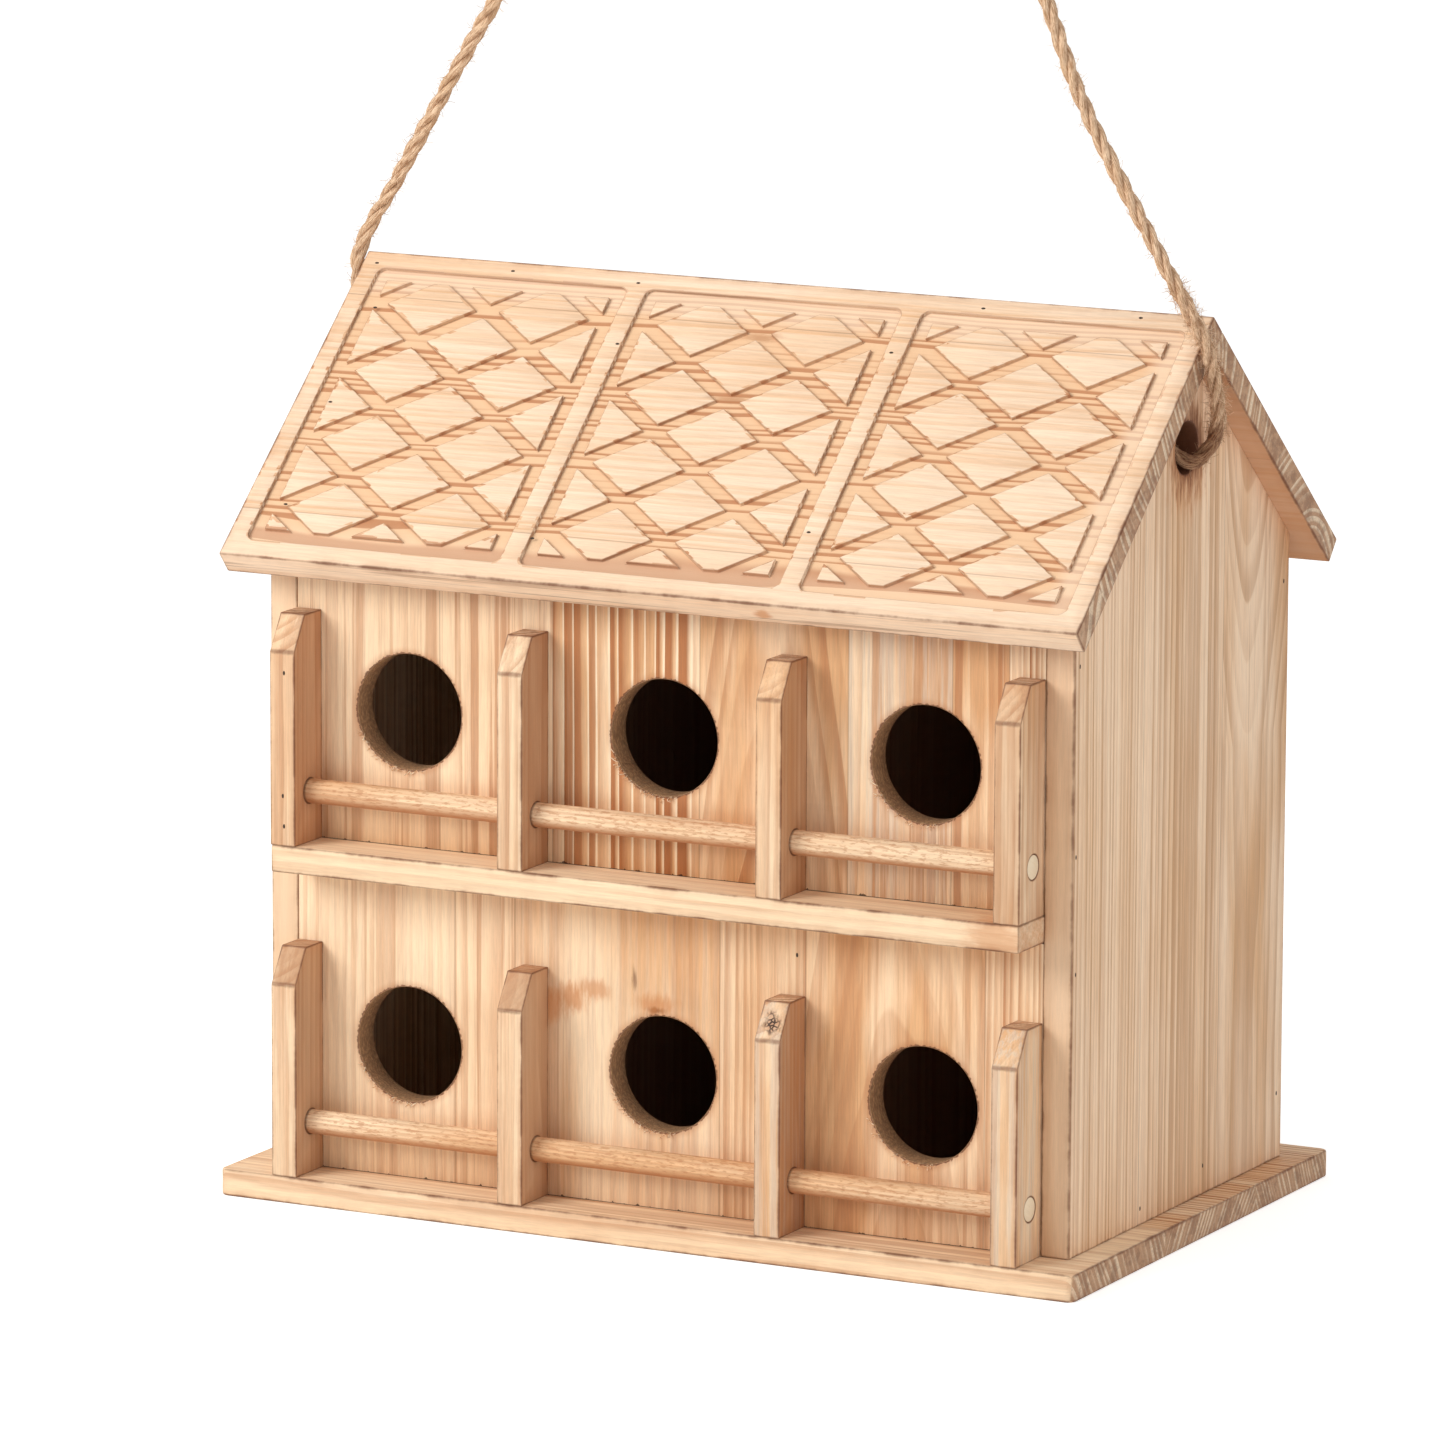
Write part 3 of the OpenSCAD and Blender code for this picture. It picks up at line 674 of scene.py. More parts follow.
class BIRDHOUSE_OT_walls(bpy.types.Operator):
    """Finish the front, side and back walls and the dividers"""
    bl_idname = "birdhouse.walls"
    bl_label = "Walls"

    def execute(self, context):
        groups = wood_groups()
        upper = [strip((-108, -30), 3.4, 0.3, 0.2, band=0.5), strip((-190, -15), 6.5, 0.5, 0.2, wander=5, band=0.65),
                 strip((150, -25), 4.2, 1.6, 1.7, wander=2, band=0.75),
                 strip((38, 17), 3.3, 0.6, 1.3, taper=0.10, band=0.2),
                 strip((-70, -35), 9.0, 0.6, 1.3, grey=0.9, wander=9, band=0.6),
                 strip((170, -15), 6.5, 0.8, 1.5, wander=7, band=0.7), strip((260, -15), 2.3, 1.3, 1.3, wander=2)]
        lower = [strip((-190, -15), 3.6, 0.3, 0.2, grey=0.2), strip((-200, -15), 5.0, 0.4, 0.2, wander=3, band=0.55),
                 strip((40, 60), 7.0, 0.25, 1.0, grey=0.3, wander=9, band=0.25), strip((200, -25), 3.1, 0.5, 0.7, wander=4),
                 strip((84, 16), 6.0, 0.4, 1.5, taper=0.12, wander=9, band=0.4), strip((260, -10), 2.6, 0.8, 0.8, wander=3)]
        knot = [((74.3, -2.5, 0), (1.7, 4.5, 99), 1.0, "burnt"), ((76, -2.5, 0), (5, 10, 99), 0.7, "resin"),
                ((71.5, -42, 0), (8, 10, 99), 0.7, "resin"), ((75, -34, 0), (6, 10, 99), 0.7, "resin"),
                ((79, -26, 0), (5, 9, 99), 0.6, "resin"), ((84, -10.5, 0), (5, 1.4, 99), 0.7, "burnt")]
        for level, node, strips, edges, spots in (
                ("upper", "upper_front_wall", upper, (-81.7, -40.3, 12.7, 65.6, 102.1, 121.9), []),
                ("lower", "lower_front_wall", lower, (-76.2, -54.1, 20.3, 51.1, 114.5), knot)):
            low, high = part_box(node)
            floor = LEDGE_TOP if level == "upper" else BASE_TOP
            middle = (low.z + high.z) / 2 / MM
            spots = [((z - middle, x, y), size, strength, tint) for (z, x, y), size, strength, tint in spots]
            mask = entrance_mask(groups, floor + HOLE_RISE, (low + high) / 2, spots)
            material = wood("Front wall, " + level, groups, low, high, UPRIGHT, strips=strips, edges=edges,
                            seed=3.0 if level == "upper" else 13.0, burn=0.0, mask=mask, relief=0.5 * MM)
            finish_board(node, material)
        splinters(groups)
        for side, node in ((-1, "left_side_wall"), (1, "right_side_wall")):
            low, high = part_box(node)
            strips = [strip((-230, -8 * side), 2.6, 0.9, 0.5, wander=3, band=0.3),
                      strip((240, -10 * side), 4.2, 0.8, 0.7, wander=5, band=0.5),
                      strip((50, 9 * side), 4.2, 0.7, 1.0, taper=-0.2, wander=10, start=5, band=0.4)]
            material = wood("Side wall, " + ("right" if side > 0 else "left"), groups, low, high, UPRIGHT_SIDE,
                            ("side_pale", "side_streak"), strips, (-30, 30), seed=31.0 + 5 * side, arris=0.9 * MM, burn=0.8,
                            mask=rope_hole_mask(groups, (low + high) / 2), relief=0.4 * MM)
            finish_board(node, material)
        inner = [strip((-200, 0), 4.5, 0.6, 0.5), strip((20, -30), 3.5, 0.5, 0.5), strip((190, 0), 3.8, 0.7, 0.6)]
        for number, node in enumerate(("back_wall", "lower_left_divider", "lower_right_divider", "upper_left_divider",
                                       "upper_right_divider")):
            low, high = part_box(node)
            turn = UPRIGHT if node == "back_wall" else UPRIGHT_SIDE
            material = wood("Wood of " + node, groups, low, high, turn, strips=inner, edges=(-41, 36),
                            seed=51.0 + 4 * number, burn=0.4, mask=chamber_shade_mask(-1.0 if node == "back_wall" else 0))
            finish_board(node, material)
        return {"FINISHED"}


def splinters(groups):
    """Torn fibres along the lower left rim of the entrance holes, one piece for each front wall."""
    look = settings("wood")
    material, sheet, shader = new_material("Torn fibres")
    place_ = sheet.node("ShaderNodeTexCoord", output=3)
    spots = sheet.noise(place_, 700.0, 2.0)
    sheet.put(shader.inputs["Base Color"], sheet.mix(sheet.ramp(spots, 0.4, 0.6), linear(look.fresh),
                                                     linear(look.warm)))
    sheet.put(shader.inputs["Roughness"], sheet.ramp(spots, 0.0, 1.0, 0.7, 0.95))
    for level, floor in (("upper", LEDGE_TOP), ("lower", BASE_TOP)):
        vertices, faces = [], []
        for number in (-1, 0, 1):
            centre = Vector((number * HOLE_PITCH, FRONT_Y, floor + HOLE_RISE))
            first, count = len(vertices), 24
            for i in range(count + 1):
                angle = math.radians(200 + 85 * i / count)
                outward = Vector((math.cos(angle), 0, math.sin(angle)))
                for depth in (0.2 * MM, 1.8 * MM):
                    vertices.append(centre + outward * (HOLE_RADIUS + 0.05 * MM) + Vector((0, depth, 0)))
            faces += [(first + 2 * i, first + 2 * i + 1, first + 2 * i + 3, first + 2 * i + 2) for i in range(count)]
        mesh = bpy.data.meshes.new(level + "_rims")
        mesh.from_pydata([tuple(v) for v in vertices], [], faces)
        host = bpy.data.objects.new(level + "_rims", mesh)
        fuzz = loose_fibres(level + "_splinters", host, 420, 3.2 * MM, 0.05, material, seed=11)
        bpy.data.objects.remove(host)
        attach(fuzz, BODY)


class BIRDHOUSE_OT_roof(bpy.types.Operator):
    """Finish the carved front roof board and the plain rear one"""
    bl_idname = "birdhouse.roof"
    bl_label = "Roof"

    def execute(self, context):
        groups = wood_groups()
        ridge = Vector((0, 0, RIDGE_Z))
        for side, node in ((1, "front_roof_board"), (-1, "rear_roof_board")):
            turn = Euler((side * ROOF_PITCH, 0, 0)).to_matrix()
            half = Vector((ROOF_HALF, SLOPE_LENGTH / 2, 4.5 * MM))
            middle = ridge + turn @ Vector((0, -side * SLOPE_LENGTH / 2, -half.z))
            material = roof_wood("Roof, " + ("front" if side > 0 else "rear"), groups, middle, half, turn, side)
            finish_board(node, material, groove_depth=1.2 * MM if side > 0 else 0.0)
        return {"FINISHED"}


def roof_wood(name, groups, middle, half, turn, side):
    """Wood of a roof board, which lies in its own slope and is set out from the ridge."""
    ridge = Vector((0, 0, RIDGE_Z))
    look = settings("wood")
    material, sheet, shader = new_material(name)
    local, facing = board_space(sheet, ridge, turn)
    if side > 0:
        strips = [strip((-90, -60), 7.0, 0.2, 0.2, wander=12, band=0.1),
                  strip((300, -70), 2.8, 0.45, 0.35, wander=12, taper=0.02, band=0.3),
                  strip((60, -40), 2.2, 0.6, 0.45, wander=9, taper=0.01)]
        edges = (-112, -19)
    else:
        strips = [strip((-20, -30), 3.0, 0.5, 0.4, wander=9), strip((120, -20), 4.0, 0.6, 0.5)]
        edges = (70,)
    colour, height, ring, tone, fibre = figure(sheet, groups, local, strips, edges, 71.0 + side, ("roof", "roof_streak"))
    if side > 0:
        colour, height = carving_mask(groups)(sheet, local, colour, height, ring, tone)
        spots = [((0.7, -22.6, 0), (9, 3, 9), 0.6, "streak"), ((0.4, -49.6, 0), (10, 2.6, 9), 0.6, "streak"),
                 ((42.6, -131, -5), (4, 30, 3), 0.7, "resin")]
        colour = smears(groups, sheet, local, colour, spots)
    # Painted shade on the undersides of the boards, in the groove streak's colour
    through = sheet.split(facing)[2]
    colour = sheet.mix(sheet.ramp(through, -0.6, -0.3, 0.7, 0.0), colour, linear(look.groove_streak))
    # The eave's edge is rough, with brown lines left by the saw
    along, _, depth = sheet.split(local)
    lines = sheet.noise(sheet.join(sheet.math("MULTIPLY", along, 9.0), 0.0, sheet.math("MULTIPLY", depth, 700.0)), 1.0,
                        3.0, 0.6)
    eave = sheet.ramp(sheet.split(facing)[1], -0.9, -0.7, 0.4, 0.0)
    colour = sheet.mix(sheet.math("MULTIPLY", eave, sheet.ramp(lines, 0.54, 0.62)), colour, linear(look.burnt))
    colour = cut_ends(sheet, colour, ring, fibre, facing)
    from_middle = sheet.vector("SUBTRACT", local, tuple(turn.transposed() @ (middle - ridge)))
    colour = burn_arrises(sheet, groups, colour, from_middle, tuple(half), 0.9, 0.9 * MM)
    finish_shader(sheet, shader, colour, height, fibre, relief=0.25 * MM)
    return material


class BIRDHOUSE_OT_porch(bpy.types.Operator):
    """Finish the base board, the ledge, the posts and the perch rails"""
    bl_idname = "birdhouse.porch"
    bl_label = "Base, ledge, posts and perches"

    def execute(self, context):
        groups = wood_groups()
        for node, strips, edges, spots in (
                ("base_board", [strip((-300, -120), 3.2, 0.4, 0.2), strip((260, -210), 2.3, 1.2, 0.9),
                                strip((-240, -170), 2.0, 1.2, 0.9)], (-30, 40), []),
                ("middle_floor", [strip((-110, -45), 3.4, 0.2, 0.2, band=0.1), strip((90, -40), 3.0, 0.5, 0.6)], (0,),
                 [((127, -90, 0), (15, 40, 99), 0.5, "resin")])):
            low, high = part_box(node)
            material = wood("Wood of " + node, groups, low, high, LEVEL, strips=strips, edges=edges,
                            seed=81.0 if spots else 85.0, arris=0.9 * MM, burn=0.9, mask=spot_mask(groups, spots),
                            ends=0.3 if spots else 0.95)
            finish_board(node, material, arris=0.7 * MM)
        for level, perch_seed in (("lower", 1.0), ("upper", 2.0)):
            for number in range(1, 5):
                node = f"{level}_post_{number}"
                low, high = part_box(node)
                seed = 90.0 + number + (10 if level == "upper" else 0)
                grey = 0.9 if node in ("lower_post_3", "lower_post_4") else 0.15
                material = wood("Wood of " + node, groups, low, high, UPRIGHT,
                                strips=[strip((-25 + 13 * (number % 2), 24), 2.4, 0.5, (0.5, 0.4, 1.0, 1.0)[number - 1],
                                              grey=grey, wander=4)],
                                seed=seed, arris=0.6 * MM, burn=0.8, cut=post_cut(low, high),
                                mask=post_mask(groups, node))
                finish_board(node, material, arris=0.4 * MM)
            node = level + "_perch"
            low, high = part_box(node)
            material = wood("Wood of " + node, groups, low, high, LEVEL,
                            strips=[strip((-14, -22), 1.7, 0.4, 0.9, wander=4, taper=0.01)], seed=110.0 + perch_seed,
                            burn=0.0, mask=perch_mask(groups), relief=0.3 * MM, ends=0.0)
            finish_board(node, material, arris=0.4 * MM)
        return {"FINISHED"}


def spot_mask(groups, spots):
    """Scorches a board at spots."""
    def mask(sheet, local, facing, colour, height):
        return smears(groups, sheet, local, colour, spots), height
    return mask


def post_mask(groups, node):
    """Painted shade on the right side faces of the inner posts, which look at the next post, and the knot in the
    slanted top of one of them.
    """
    def mask(sheet, local, facing, colour, height):
        look = settings("wood")
        outer = node.endswith("4")
        # Painted shade: the right side faces of the inner posts look at the next post and get less light; the outer
        # post keeps its colour
        side = sheet.ramp(sheet.split(facing)[1], 0.3, 0.7, 0.0, 0.0 if outer else 0.62)
        colour = sheet.mix(side, colour, linear(look.streak if node.startswith("upper_post_1") else look.brown))
        if node == "upper_post_4":
            front = sheet.ramp(sheet.split(facing)[2], -0.7, -0.3, 0.3, 0.0)
            colour = sheet.mix(front, colour, linear(look.brown))
        if node in ("lower_post_1", "lower_post_2"):
            top = sheet.ramp(sheet.split(facing)[0], 0.3, 0.5, 0.0, 0.55)
            colour = sheet.mix(top, colour, linear(look.brown))
        up, _, through = sheet.split(local)
        bore = sheet.join(sheet.math("ADD", up, BORE_DROP), sheet.math("ADD", through, BORE_SET_BACK), 0.0)
        bore = sheet.math("SUBTRACT", sheet.vector("LENGTH", bore, output=1), 4.1 * MM)
        colour = sheet.mix(sheet.ramp(bore, 0.1 * MM, 0.6 * MM, 0.8, 0.0), colour, linear(look.burnt))
        if node == "lower_post_3":
            colour = smears(groups, sheet, local, colour, [((31.5, 0, -6), (5.5, 4.5, 9), 0.5, "streak")])
            cracks = sheet.node("ShaderNodeTexVoronoi", {"Vector": local, "Scale": 620.0}, feature="DISTANCE_TO_EDGE")
            knot = sheet.group(groups["smear"], Vector=local, Centre=(31.5 * MM, 0.0, -6 * MM),
                               Size=(4.5 * MM, 4.0 * MM, 9 * MM))["Mask"]
            colour = sheet.mix(sheet.math("MULTIPLY", knot, sheet.ramp(cracks, 0.08, 0.2, 0.95, 0.0)), colour,
                               linear(look.char))
        return colour, height
    return mask


def perch_mask(groups):
    """Painted shade on the underside of a perch rail, and a dark ring where it enters each post."""
    def mask(sheet, local, facing, colour, height):
        look = settings("wood")
        along = sheet.split(local)[0]
        # Painted shade on the downward faces of the rail
        underside_shade = sheet.ramp(sheet.split(facing)[2], -0.8, -0.05, 0.8, 0.0)
        colour = sheet.mix(underside_shade, colour, linear(look.streak))
        speckle = sheet.noise(sheet.vector("MULTIPLY", local, (320.0, 1300.0, 1300.0)), 1.0, 3.0, 0.6)
        colour = sheet.mix(sheet.ramp(speckle, 0.50, 0.62, 0.0, 0.5), colour, linear(look.streak))
        for x in POST_CENTRES:
            near = sheet.math("SUBTRACT", sheet.math("ABSOLUTE", sheet.math("SUBTRACT", along, x)), POST_WIDTH / 2)
            colour = sheet.mix(sheet.ramp(near, 0.1 * MM, 0.9 * MM, 0.6, 0.0), colour, linear(look.burnt))
        endness = sheet.math("ABSOLUTE", sheet.split(facing)[0])
        return sheet.mix(sheet.ramp(endness, 0.6, 0.8, 0.0, 0.85), colour, linear(look.fresh)), height
    return mask


def post_cut(low, high):
    """Plane of the slanted cut at a post's top, in the post's own space: along, across, through."""
    depth, rise = 7 * MM, 11.5 * MM
    normal = Vector((depth, 0, -rise)).normalized()
    corner = Vector(((high.z - low.z) / 2, 0, depth - (high.y - low.y) / 2))
    return tuple(normal), normal.dot(corner)


# Rope

ROPE_POINTS = [
    (-136.02, 0, 257), (-138.5, 0, 256), (-141, 0, 253.5), (-144.5, 0.5, 252.2), (-148, 0.5, 254),
    (-151, 0.5, 258), (-154, 0, 263.5), (-156, -0.5, 270.5), (-157, -0.5, 280), (-157, -0.5, 290),
    (-157, 0, 299), (-152, 0.5, 310), (-144, 0, 322), (-130.5, -1, 344), (-117.5, -2, 365),
    (-103.8, -3, 386.5), (-89, -3.5, 410.5), (-74.3, -4.5, 435.5), (-60, -5.5, 461), (-45, -6.5, 486.5),
    (-30, -8, 511.5), (-19, -8.5, 529), (-10, -9, 540), (0, -9, 547), (11, -9, 549.5),
    (22, -9, 546.5), (30.5, -9.5, 539), (37.5, -9.5, 529), (48, -10, 509.5), (61, -11, 483.5),
    (74, -12, 457.5), (87, -13.5, 429.5), (100, -15, 400), (111.5, -16, 373), (125, -17, 348.5),
    (138.7, -17.5, 326.5), (147.7, -18.5, 312.5), (154, -17, 301), (157, -12.5, 291), (157, -8.5, 283.5),
    (156.8, -5, 276.5), (156, -1.5, 269.5), (154, 2, 263.5), (151, 4, 258), (148, 3.8, 253.8),
    (144.5, 2.2, 252.2), (141, 1, 253.5), (138.5, 0.3, 256), (136.02, 0, 257),
]


def smooth_route(points, step):
    """Evenly spaced points on a curve that passes through every given point, and its length."""
    dense = []
    ends = [points[0], *points, points[-1]]
    pieces = 24
    for i in range(1, len(ends) - 2):
        p0, p1, p2, p3 = ends[i - 1:i + 3]
        for k in range(pieces):
            t = k / pieces
            dense.append(0.5 * (2 * p1 + (p2 - p0) * t + (2 * p0 - 5 * p1 + 4 * p2 - p3) * t * t
                                + (3 * p1 - p0 - 3 * p2 + p3) * t ** 3))
    dense.append(points[-1])
    lengths = [0.0]
    for a, b in zip(dense, dense[1:]):
        lengths.append(lengths[-1] + (b - a).length)
    count = round(lengths[-1] / step)
    route, j = [], 0
    for i in range(count + 1):
        target = lengths[-1] * i / count
        while j < len(dense) - 2 and lengths[j + 1] < target:
            j += 1
        span = lengths[j + 1] - lengths[j]
        route.append(dense[j].lerp(dense[j + 1], min(1.0, (target - lengths[j]) / span)))
    return route, lengths[-1]


def sweep_frames(route):
    """Two directions square to the route at each point, carried along it without twist."""
    last = len(route) - 1
    tangents = [(route[min(i + 1, last)] - route[max(i - 1, 0)]).normalized() for i in range(last + 1)]
    side = tangents[0].orthogonal().normalized()
    frames = []
    for tangent in tangents:
        side = (side - tangent * side.dot(tangent)).normalized()
        frames.append((side, tangent.cross(side)))
    return frames


def strand_rope(name, route, diameter, lay, sides, seed):
    """Three-strand rope as one mesh: each strand is a closed tube that winds round the route."""
    rng = random.Random(seed)
    frames = sweep_frames(route)
    offset, radius = 0.25 * diameter, 0.265 * diameter
    step = (route[1] - route[0]).length
    vertices, faces, uvs = [], [], []
    for strand in range(3):
        wave, phase = rng.uniform(40, 60), rng.uniform(0, math.tau)
        first = len(vertices)
        for i, (point, (side, up)) in enumerate(zip(route, frames)):
            turn = math.tau * (strand / 3 + i * step / lay)
            outward = side * math.cos(turn) + up * math.sin(turn)
            along = up * math.cos(turn) - side * math.sin(turn)
            swell = 1 + 0.09 * math.sin(i * step * 1000 / wave * math.tau + phase) + rng.uniform(-0.03, 0.03)
            middle = point + outward * offset
            for k in range(sides):
                angle = math.tau * k / sides
                vertices.append(middle + radius * swell * (outward * math.cos(angle) + along * math.sin(angle)))
        rings = len(route)
        for i in range(rings - 1):
            for k in range(sides):
                a, b = first + i * sides + k, first + i * sides + (k + 1) % sides
                faces.append((a, b, b + sides, a + sides))
                across = (k / sides, (k + 1) / sides)
                down = (i * step / lay, (i + 1) * step / lay)
                uvs.append(((across[0], down[0]), (across[1], down[0]), (across[1], down[1]), (across[0], down[1])))
        for ring, order in ((0, range(sides - 1, -1, -1)), (rings - 1, range(sides))):
            faces.append([first + ring * sides + k for k in order])
            uvs.append([(k / sides, 0.0) for k in order])
    mesh = bpy.data.meshes.new(name)
    mesh.from_pydata([tuple(v) for v in vertices], [], faces)
    layer = mesh.uv_layers.new(name="Strand")
    for polygon, corners in zip(mesh.polygons, uvs):
        polygon.use_smooth = True
        for loop, corner in zip(polygon.loop_indices, corners):
            layer.data[loop].uv = corner
    piece = bpy.data.objects.new(name, mesh)
    bpy.context.scene.collection.objects.link(piece)
    return piece


def jute():
    """Jute yarn: fibres that spiral round each strand, light and brown mixed, with painted shade on the inner sides of
    the strands, where they meet.
    """
    look = settings("rope")
    material, sheet, shader = new_material("Jute")
    uv = sheet.node("ShaderNodeUVMap", uv_map="Strand")
    place = sheet.node("ShaderNodeTexCoord", output=3)
    u, v, _ = sheet.split(uv)
    spiral = sheet.join(sheet.math("MULTIPLY", sheet.math("ADD", u, sheet.math("MULTIPLY", v, 1.2)), 26.0),
                        sheet.math("MULTIPLY", v, 6.0), 0.0)
    yarn = sheet.noise(spiral, 1.0, 3.0, 0.7)
    patch = sheet.noise(place, 90.0, 2.0)
    colour = sheet.mix(sheet.ramp(yarn, 0.36, 0.62), linear(look.dark), linear(look.light))
    colour = sheet.mix(sheet.ramp(patch, 0.45, 0.8, 0.0, 0.5), colour, linear((0.84, 0.67, 0.49)))
    # Painted shade on the inner side of each strand, where the strands meet
    between_strands_shade = sheet.math("ABSOLUTE", sheet.math("SUBTRACT", sheet.math("FRACT", sheet.math("ADD", u, 0.5)), 0.5))
    colour = sheet.mix(sheet.ramp(between_strands_shade, 0.2, 0.4, 0.0, 0.85), colour, linear(look.dark))
    # Darker near the gable holes, where the rope is rubbed brown, with painted shade there too
    x, _, z = sheet.split(place)
    rubbed_and_shaded = sheet.math("MULTIPLY", sheet.ramp(sheet.math("ABSOLUTE", x), 138 * MM, 142 * MM),
                         sheet.ramp(sheet.math("ADD", z, sheet.math("MULTIPLY", patch, 0.012)), 266 * MM, 276 * MM,
                                    0.85, 0.0))
    colour = sheet.mix(rubbed_and_shaded, colour, sheet.mix(sheet.ramp(yarn, 0.4, 0.6), linear(look.stain_and_shade), linear(look.dark)))
    sheet.put(shader.inputs["Base Color"], colour)
    sheet.put(shader.inputs["Roughness"], sheet.ramp(yarn, 0.0, 1.0, 0.75, 0.95))
    bump = sheet.node("ShaderNodeBump", {"Strength": 0.8, "Distance": 0.0006, "Height": yarn})
    sheet.put(shader.inputs["Normal"], bump)
    return material


class BIRDHOUSE_OT_rope(bpy.types.Operator):
    """Make the hanging rope, its stopper knots and its loose fibres"""
    bl_idname = "birdhouse.rope"
    bl_label = "Rope"

    def execute(self, context):
        look = settings("rope")
        material = jute()
        points = [Vector(p) * MM for p in ROPE_POINTS]
        route, length = smooth_route(points, 0.9 * MM)
        rope = strand_rope("hanging_rope", route, look.diameter, look.lay, 10, seed=1)
        rope.data.materials.append(material)
        for side, name in ((-1, "left"), (1, "right")):
            path, _ = smooth_route(knot_points(side), 0.9 * MM)
            knot = strand_rope(name + "_stopper_knot", path, look.diameter * 0.92, look.lay * 0.8, 8, seed=2 + side)
            knot.data.materials.append(material)
            place(knot, name + "_knot")
        fuzz = loose_fibres("rope_fibres", rope, look.fibres, 3.4 * MM, 0.022, material, seed=5)
        near_gable = [p for p in route if p.x > 0.145 and 0.262 < p.z < 0.312]
        worn = strand_rope("worn_stretch", near_gable, look.diameter, look.lay, 10, seed=1)
        fray = loose_fibres("frayed_fibres", worn, 1100, 4.6 * MM, 0.016, material, seed=7)
        bpy.data.objects.remove(worn)
        for loose in (fuzz, fray):
            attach(loose, BODY)
        place(rope, "rope")
        return {"FINISHED"}


def knot_points(side):
    """Centreline of a stopper knot: two tight turns round the rope's end, drawn back through the middle."""
    ring, thick, turns, steps = 6.6 * MM, 5.6 * MM, 2.0, 9
    outer = abs(ROPE_POINTS[0][0]) * MM
    centre = Vector((0, 0, ROPE_HOLE_Z))
    points = [centre + Vector((side * outer, 0, 0))]
    count = round(turns * steps)
    for i in range(count + 1):
        angle = math.tau * i / steps
        x = outer - thick / 2 - 0.2 * MM - (thick * i / steps if i else 0.0) / turns * 1.05
        points.append(centre + Vector((side * x, ring * math.cos(angle), ring * math.sin(angle))))
    points.append(centre + Vector((side * (outer - 10.5 * MM), 0, 0)))
    return points


def loose_fibres(name, host, count, length, thickness, material, seed):
    """Geometry Nodes set short bent fibres on a piece's surface; the result is a plain mesh."""
    tree = bpy.data.node_groups.new(name, "GeometryNodeTree")
    tree.interface.new_socket("Geometry", in_out="INPUT", socket_type="NodeSocketGeometry")
    for socket_name, kind, default in (("Count", "Int", 1000), ("Length", "Float", 0.003),
                                       ("Thickness", "Float", 0.02), ("Seed", "Int", 0)):
        tree.interface.new_socket(socket_name, in_out="INPUT", socket_type="NodeSocket" + kind).default_value = default
    tree.interface.new_socket("Geometry", in_out="OUTPUT", socket_type="NodeSocketGeometry")
    sheet = Sheet(tree)
    entry = tree.nodes.new("NodeGroupInput").outputs
    out = tree.nodes.new("NodeGroupOutput")
    area = sheet.node("GeometryNodeAttributeStatistic",
                      {"Geometry": entry["Geometry"], 2: sheet.node("GeometryNodeInputMeshFaceArea")},
                      output=2, domain="FACE")
    density = sheet.math("DIVIDE", entry["Count"], area)
    points = sheet.node("GeometryNodeDistributePointsOnFaces", {"Mesh": entry["Geometry"], "Density": density,
                                                                "Seed": entry["Seed"]}, distribute_method="RANDOM")
    normal = sheet.last.outputs["Normal"]
    turn = sheet.node("FunctionNodeAlignRotationToVector", {"Vector": normal}, axis="Z")
    tilt = sheet.node("FunctionNodeRandomValue", {0: (0.7, -0.2, 0.0), 1: (1.35, 0.2, 6.283), "Seed": entry["Seed"]},
                      data_type="FLOAT_VECTOR")
    turn = sheet.node("FunctionNodeRotateRotation", {"Rotation": turn, "Rotate By": tilt}, rotation_space="LOCAL")
    fibre = sheet.node("GeometryNodeCurveQuadraticBezier", {"Resolution": 4, "Start": (0, 0, 0),
                                                            "Middle": (0, 0.0, 0.5), "End": (0.35, 0, 0.9)})
    profile = sheet.node("GeometryNodeCurvePrimitiveCircle", {"Resolution": 3, "Radius": entry["Thickness"]},
                         mode="RADIUS")
    thread = sheet.node("GeometryNodeCurveToMesh", {"Curve": fibre, "Profile Curve": profile, "Fill Caps": True})
    size = sheet.node("FunctionNodeRandomValue", {2: 0.35, 3: 1.0, "Seed": entry["Seed"]}, output=1, data_type="FLOAT")
    size = sheet.math("MULTIPLY", size, entry["Length"])
    placed = sheet.node("GeometryNodeInstanceOnPoints", {"Points": points, "Instance": thread, "Rotation": turn,
                                                         "Scale": size})
    real = sheet.node("GeometryNodeRealizeInstances", {"Geometry": placed})
    painted = sheet.node("GeometryNodeSetMaterial", {"Geometry": real, "Material": material})
    sheet.put(out.inputs["Geometry"], painted)
    piece = bpy.data.objects.new(name, host.data.copy())
    bpy.context.scene.collection.objects.link(piece)
    modifier = piece.modifiers.new(name, "NODES")
    modifier.node_group = tree
    values = {"Count": count, "Length": length, "Thickness": thickness, "Seed": seed}
    for item in tree.interface.items_tree:
        if item.in_out == "INPUT" and item.name in values:
            modifier[item.identifier] = values[item.name]
    make_plain(piece)
    return piece


# Brads

ROOF_BRADS = [(-148.1, 5.1), (-97.5, 4.0), (-50.7, 4.9), (73.8, 4.2), (128.9, 3.0), (-140.8, 24.1), (-140.2, 65.3),
              (-138.2, 109.2), (-47.9, 31.1), (-45.5, 113.9), (49.0, 25.5), (48.6, 101.3)]
SIDE_BRADS = [(3.6, 198.8), (2.1, 138.3), (2.7, 100.6), (53.0, 10.5 + 4), (101.0, 18.6), (158.7, 202.0), (158.7, 31.0)]
FRONT_BRADS = [(47.9, 97.6)]
POST_BRADS = [(5.2, 57.0), (4.6, 16.5), (5.0, 6.5)]


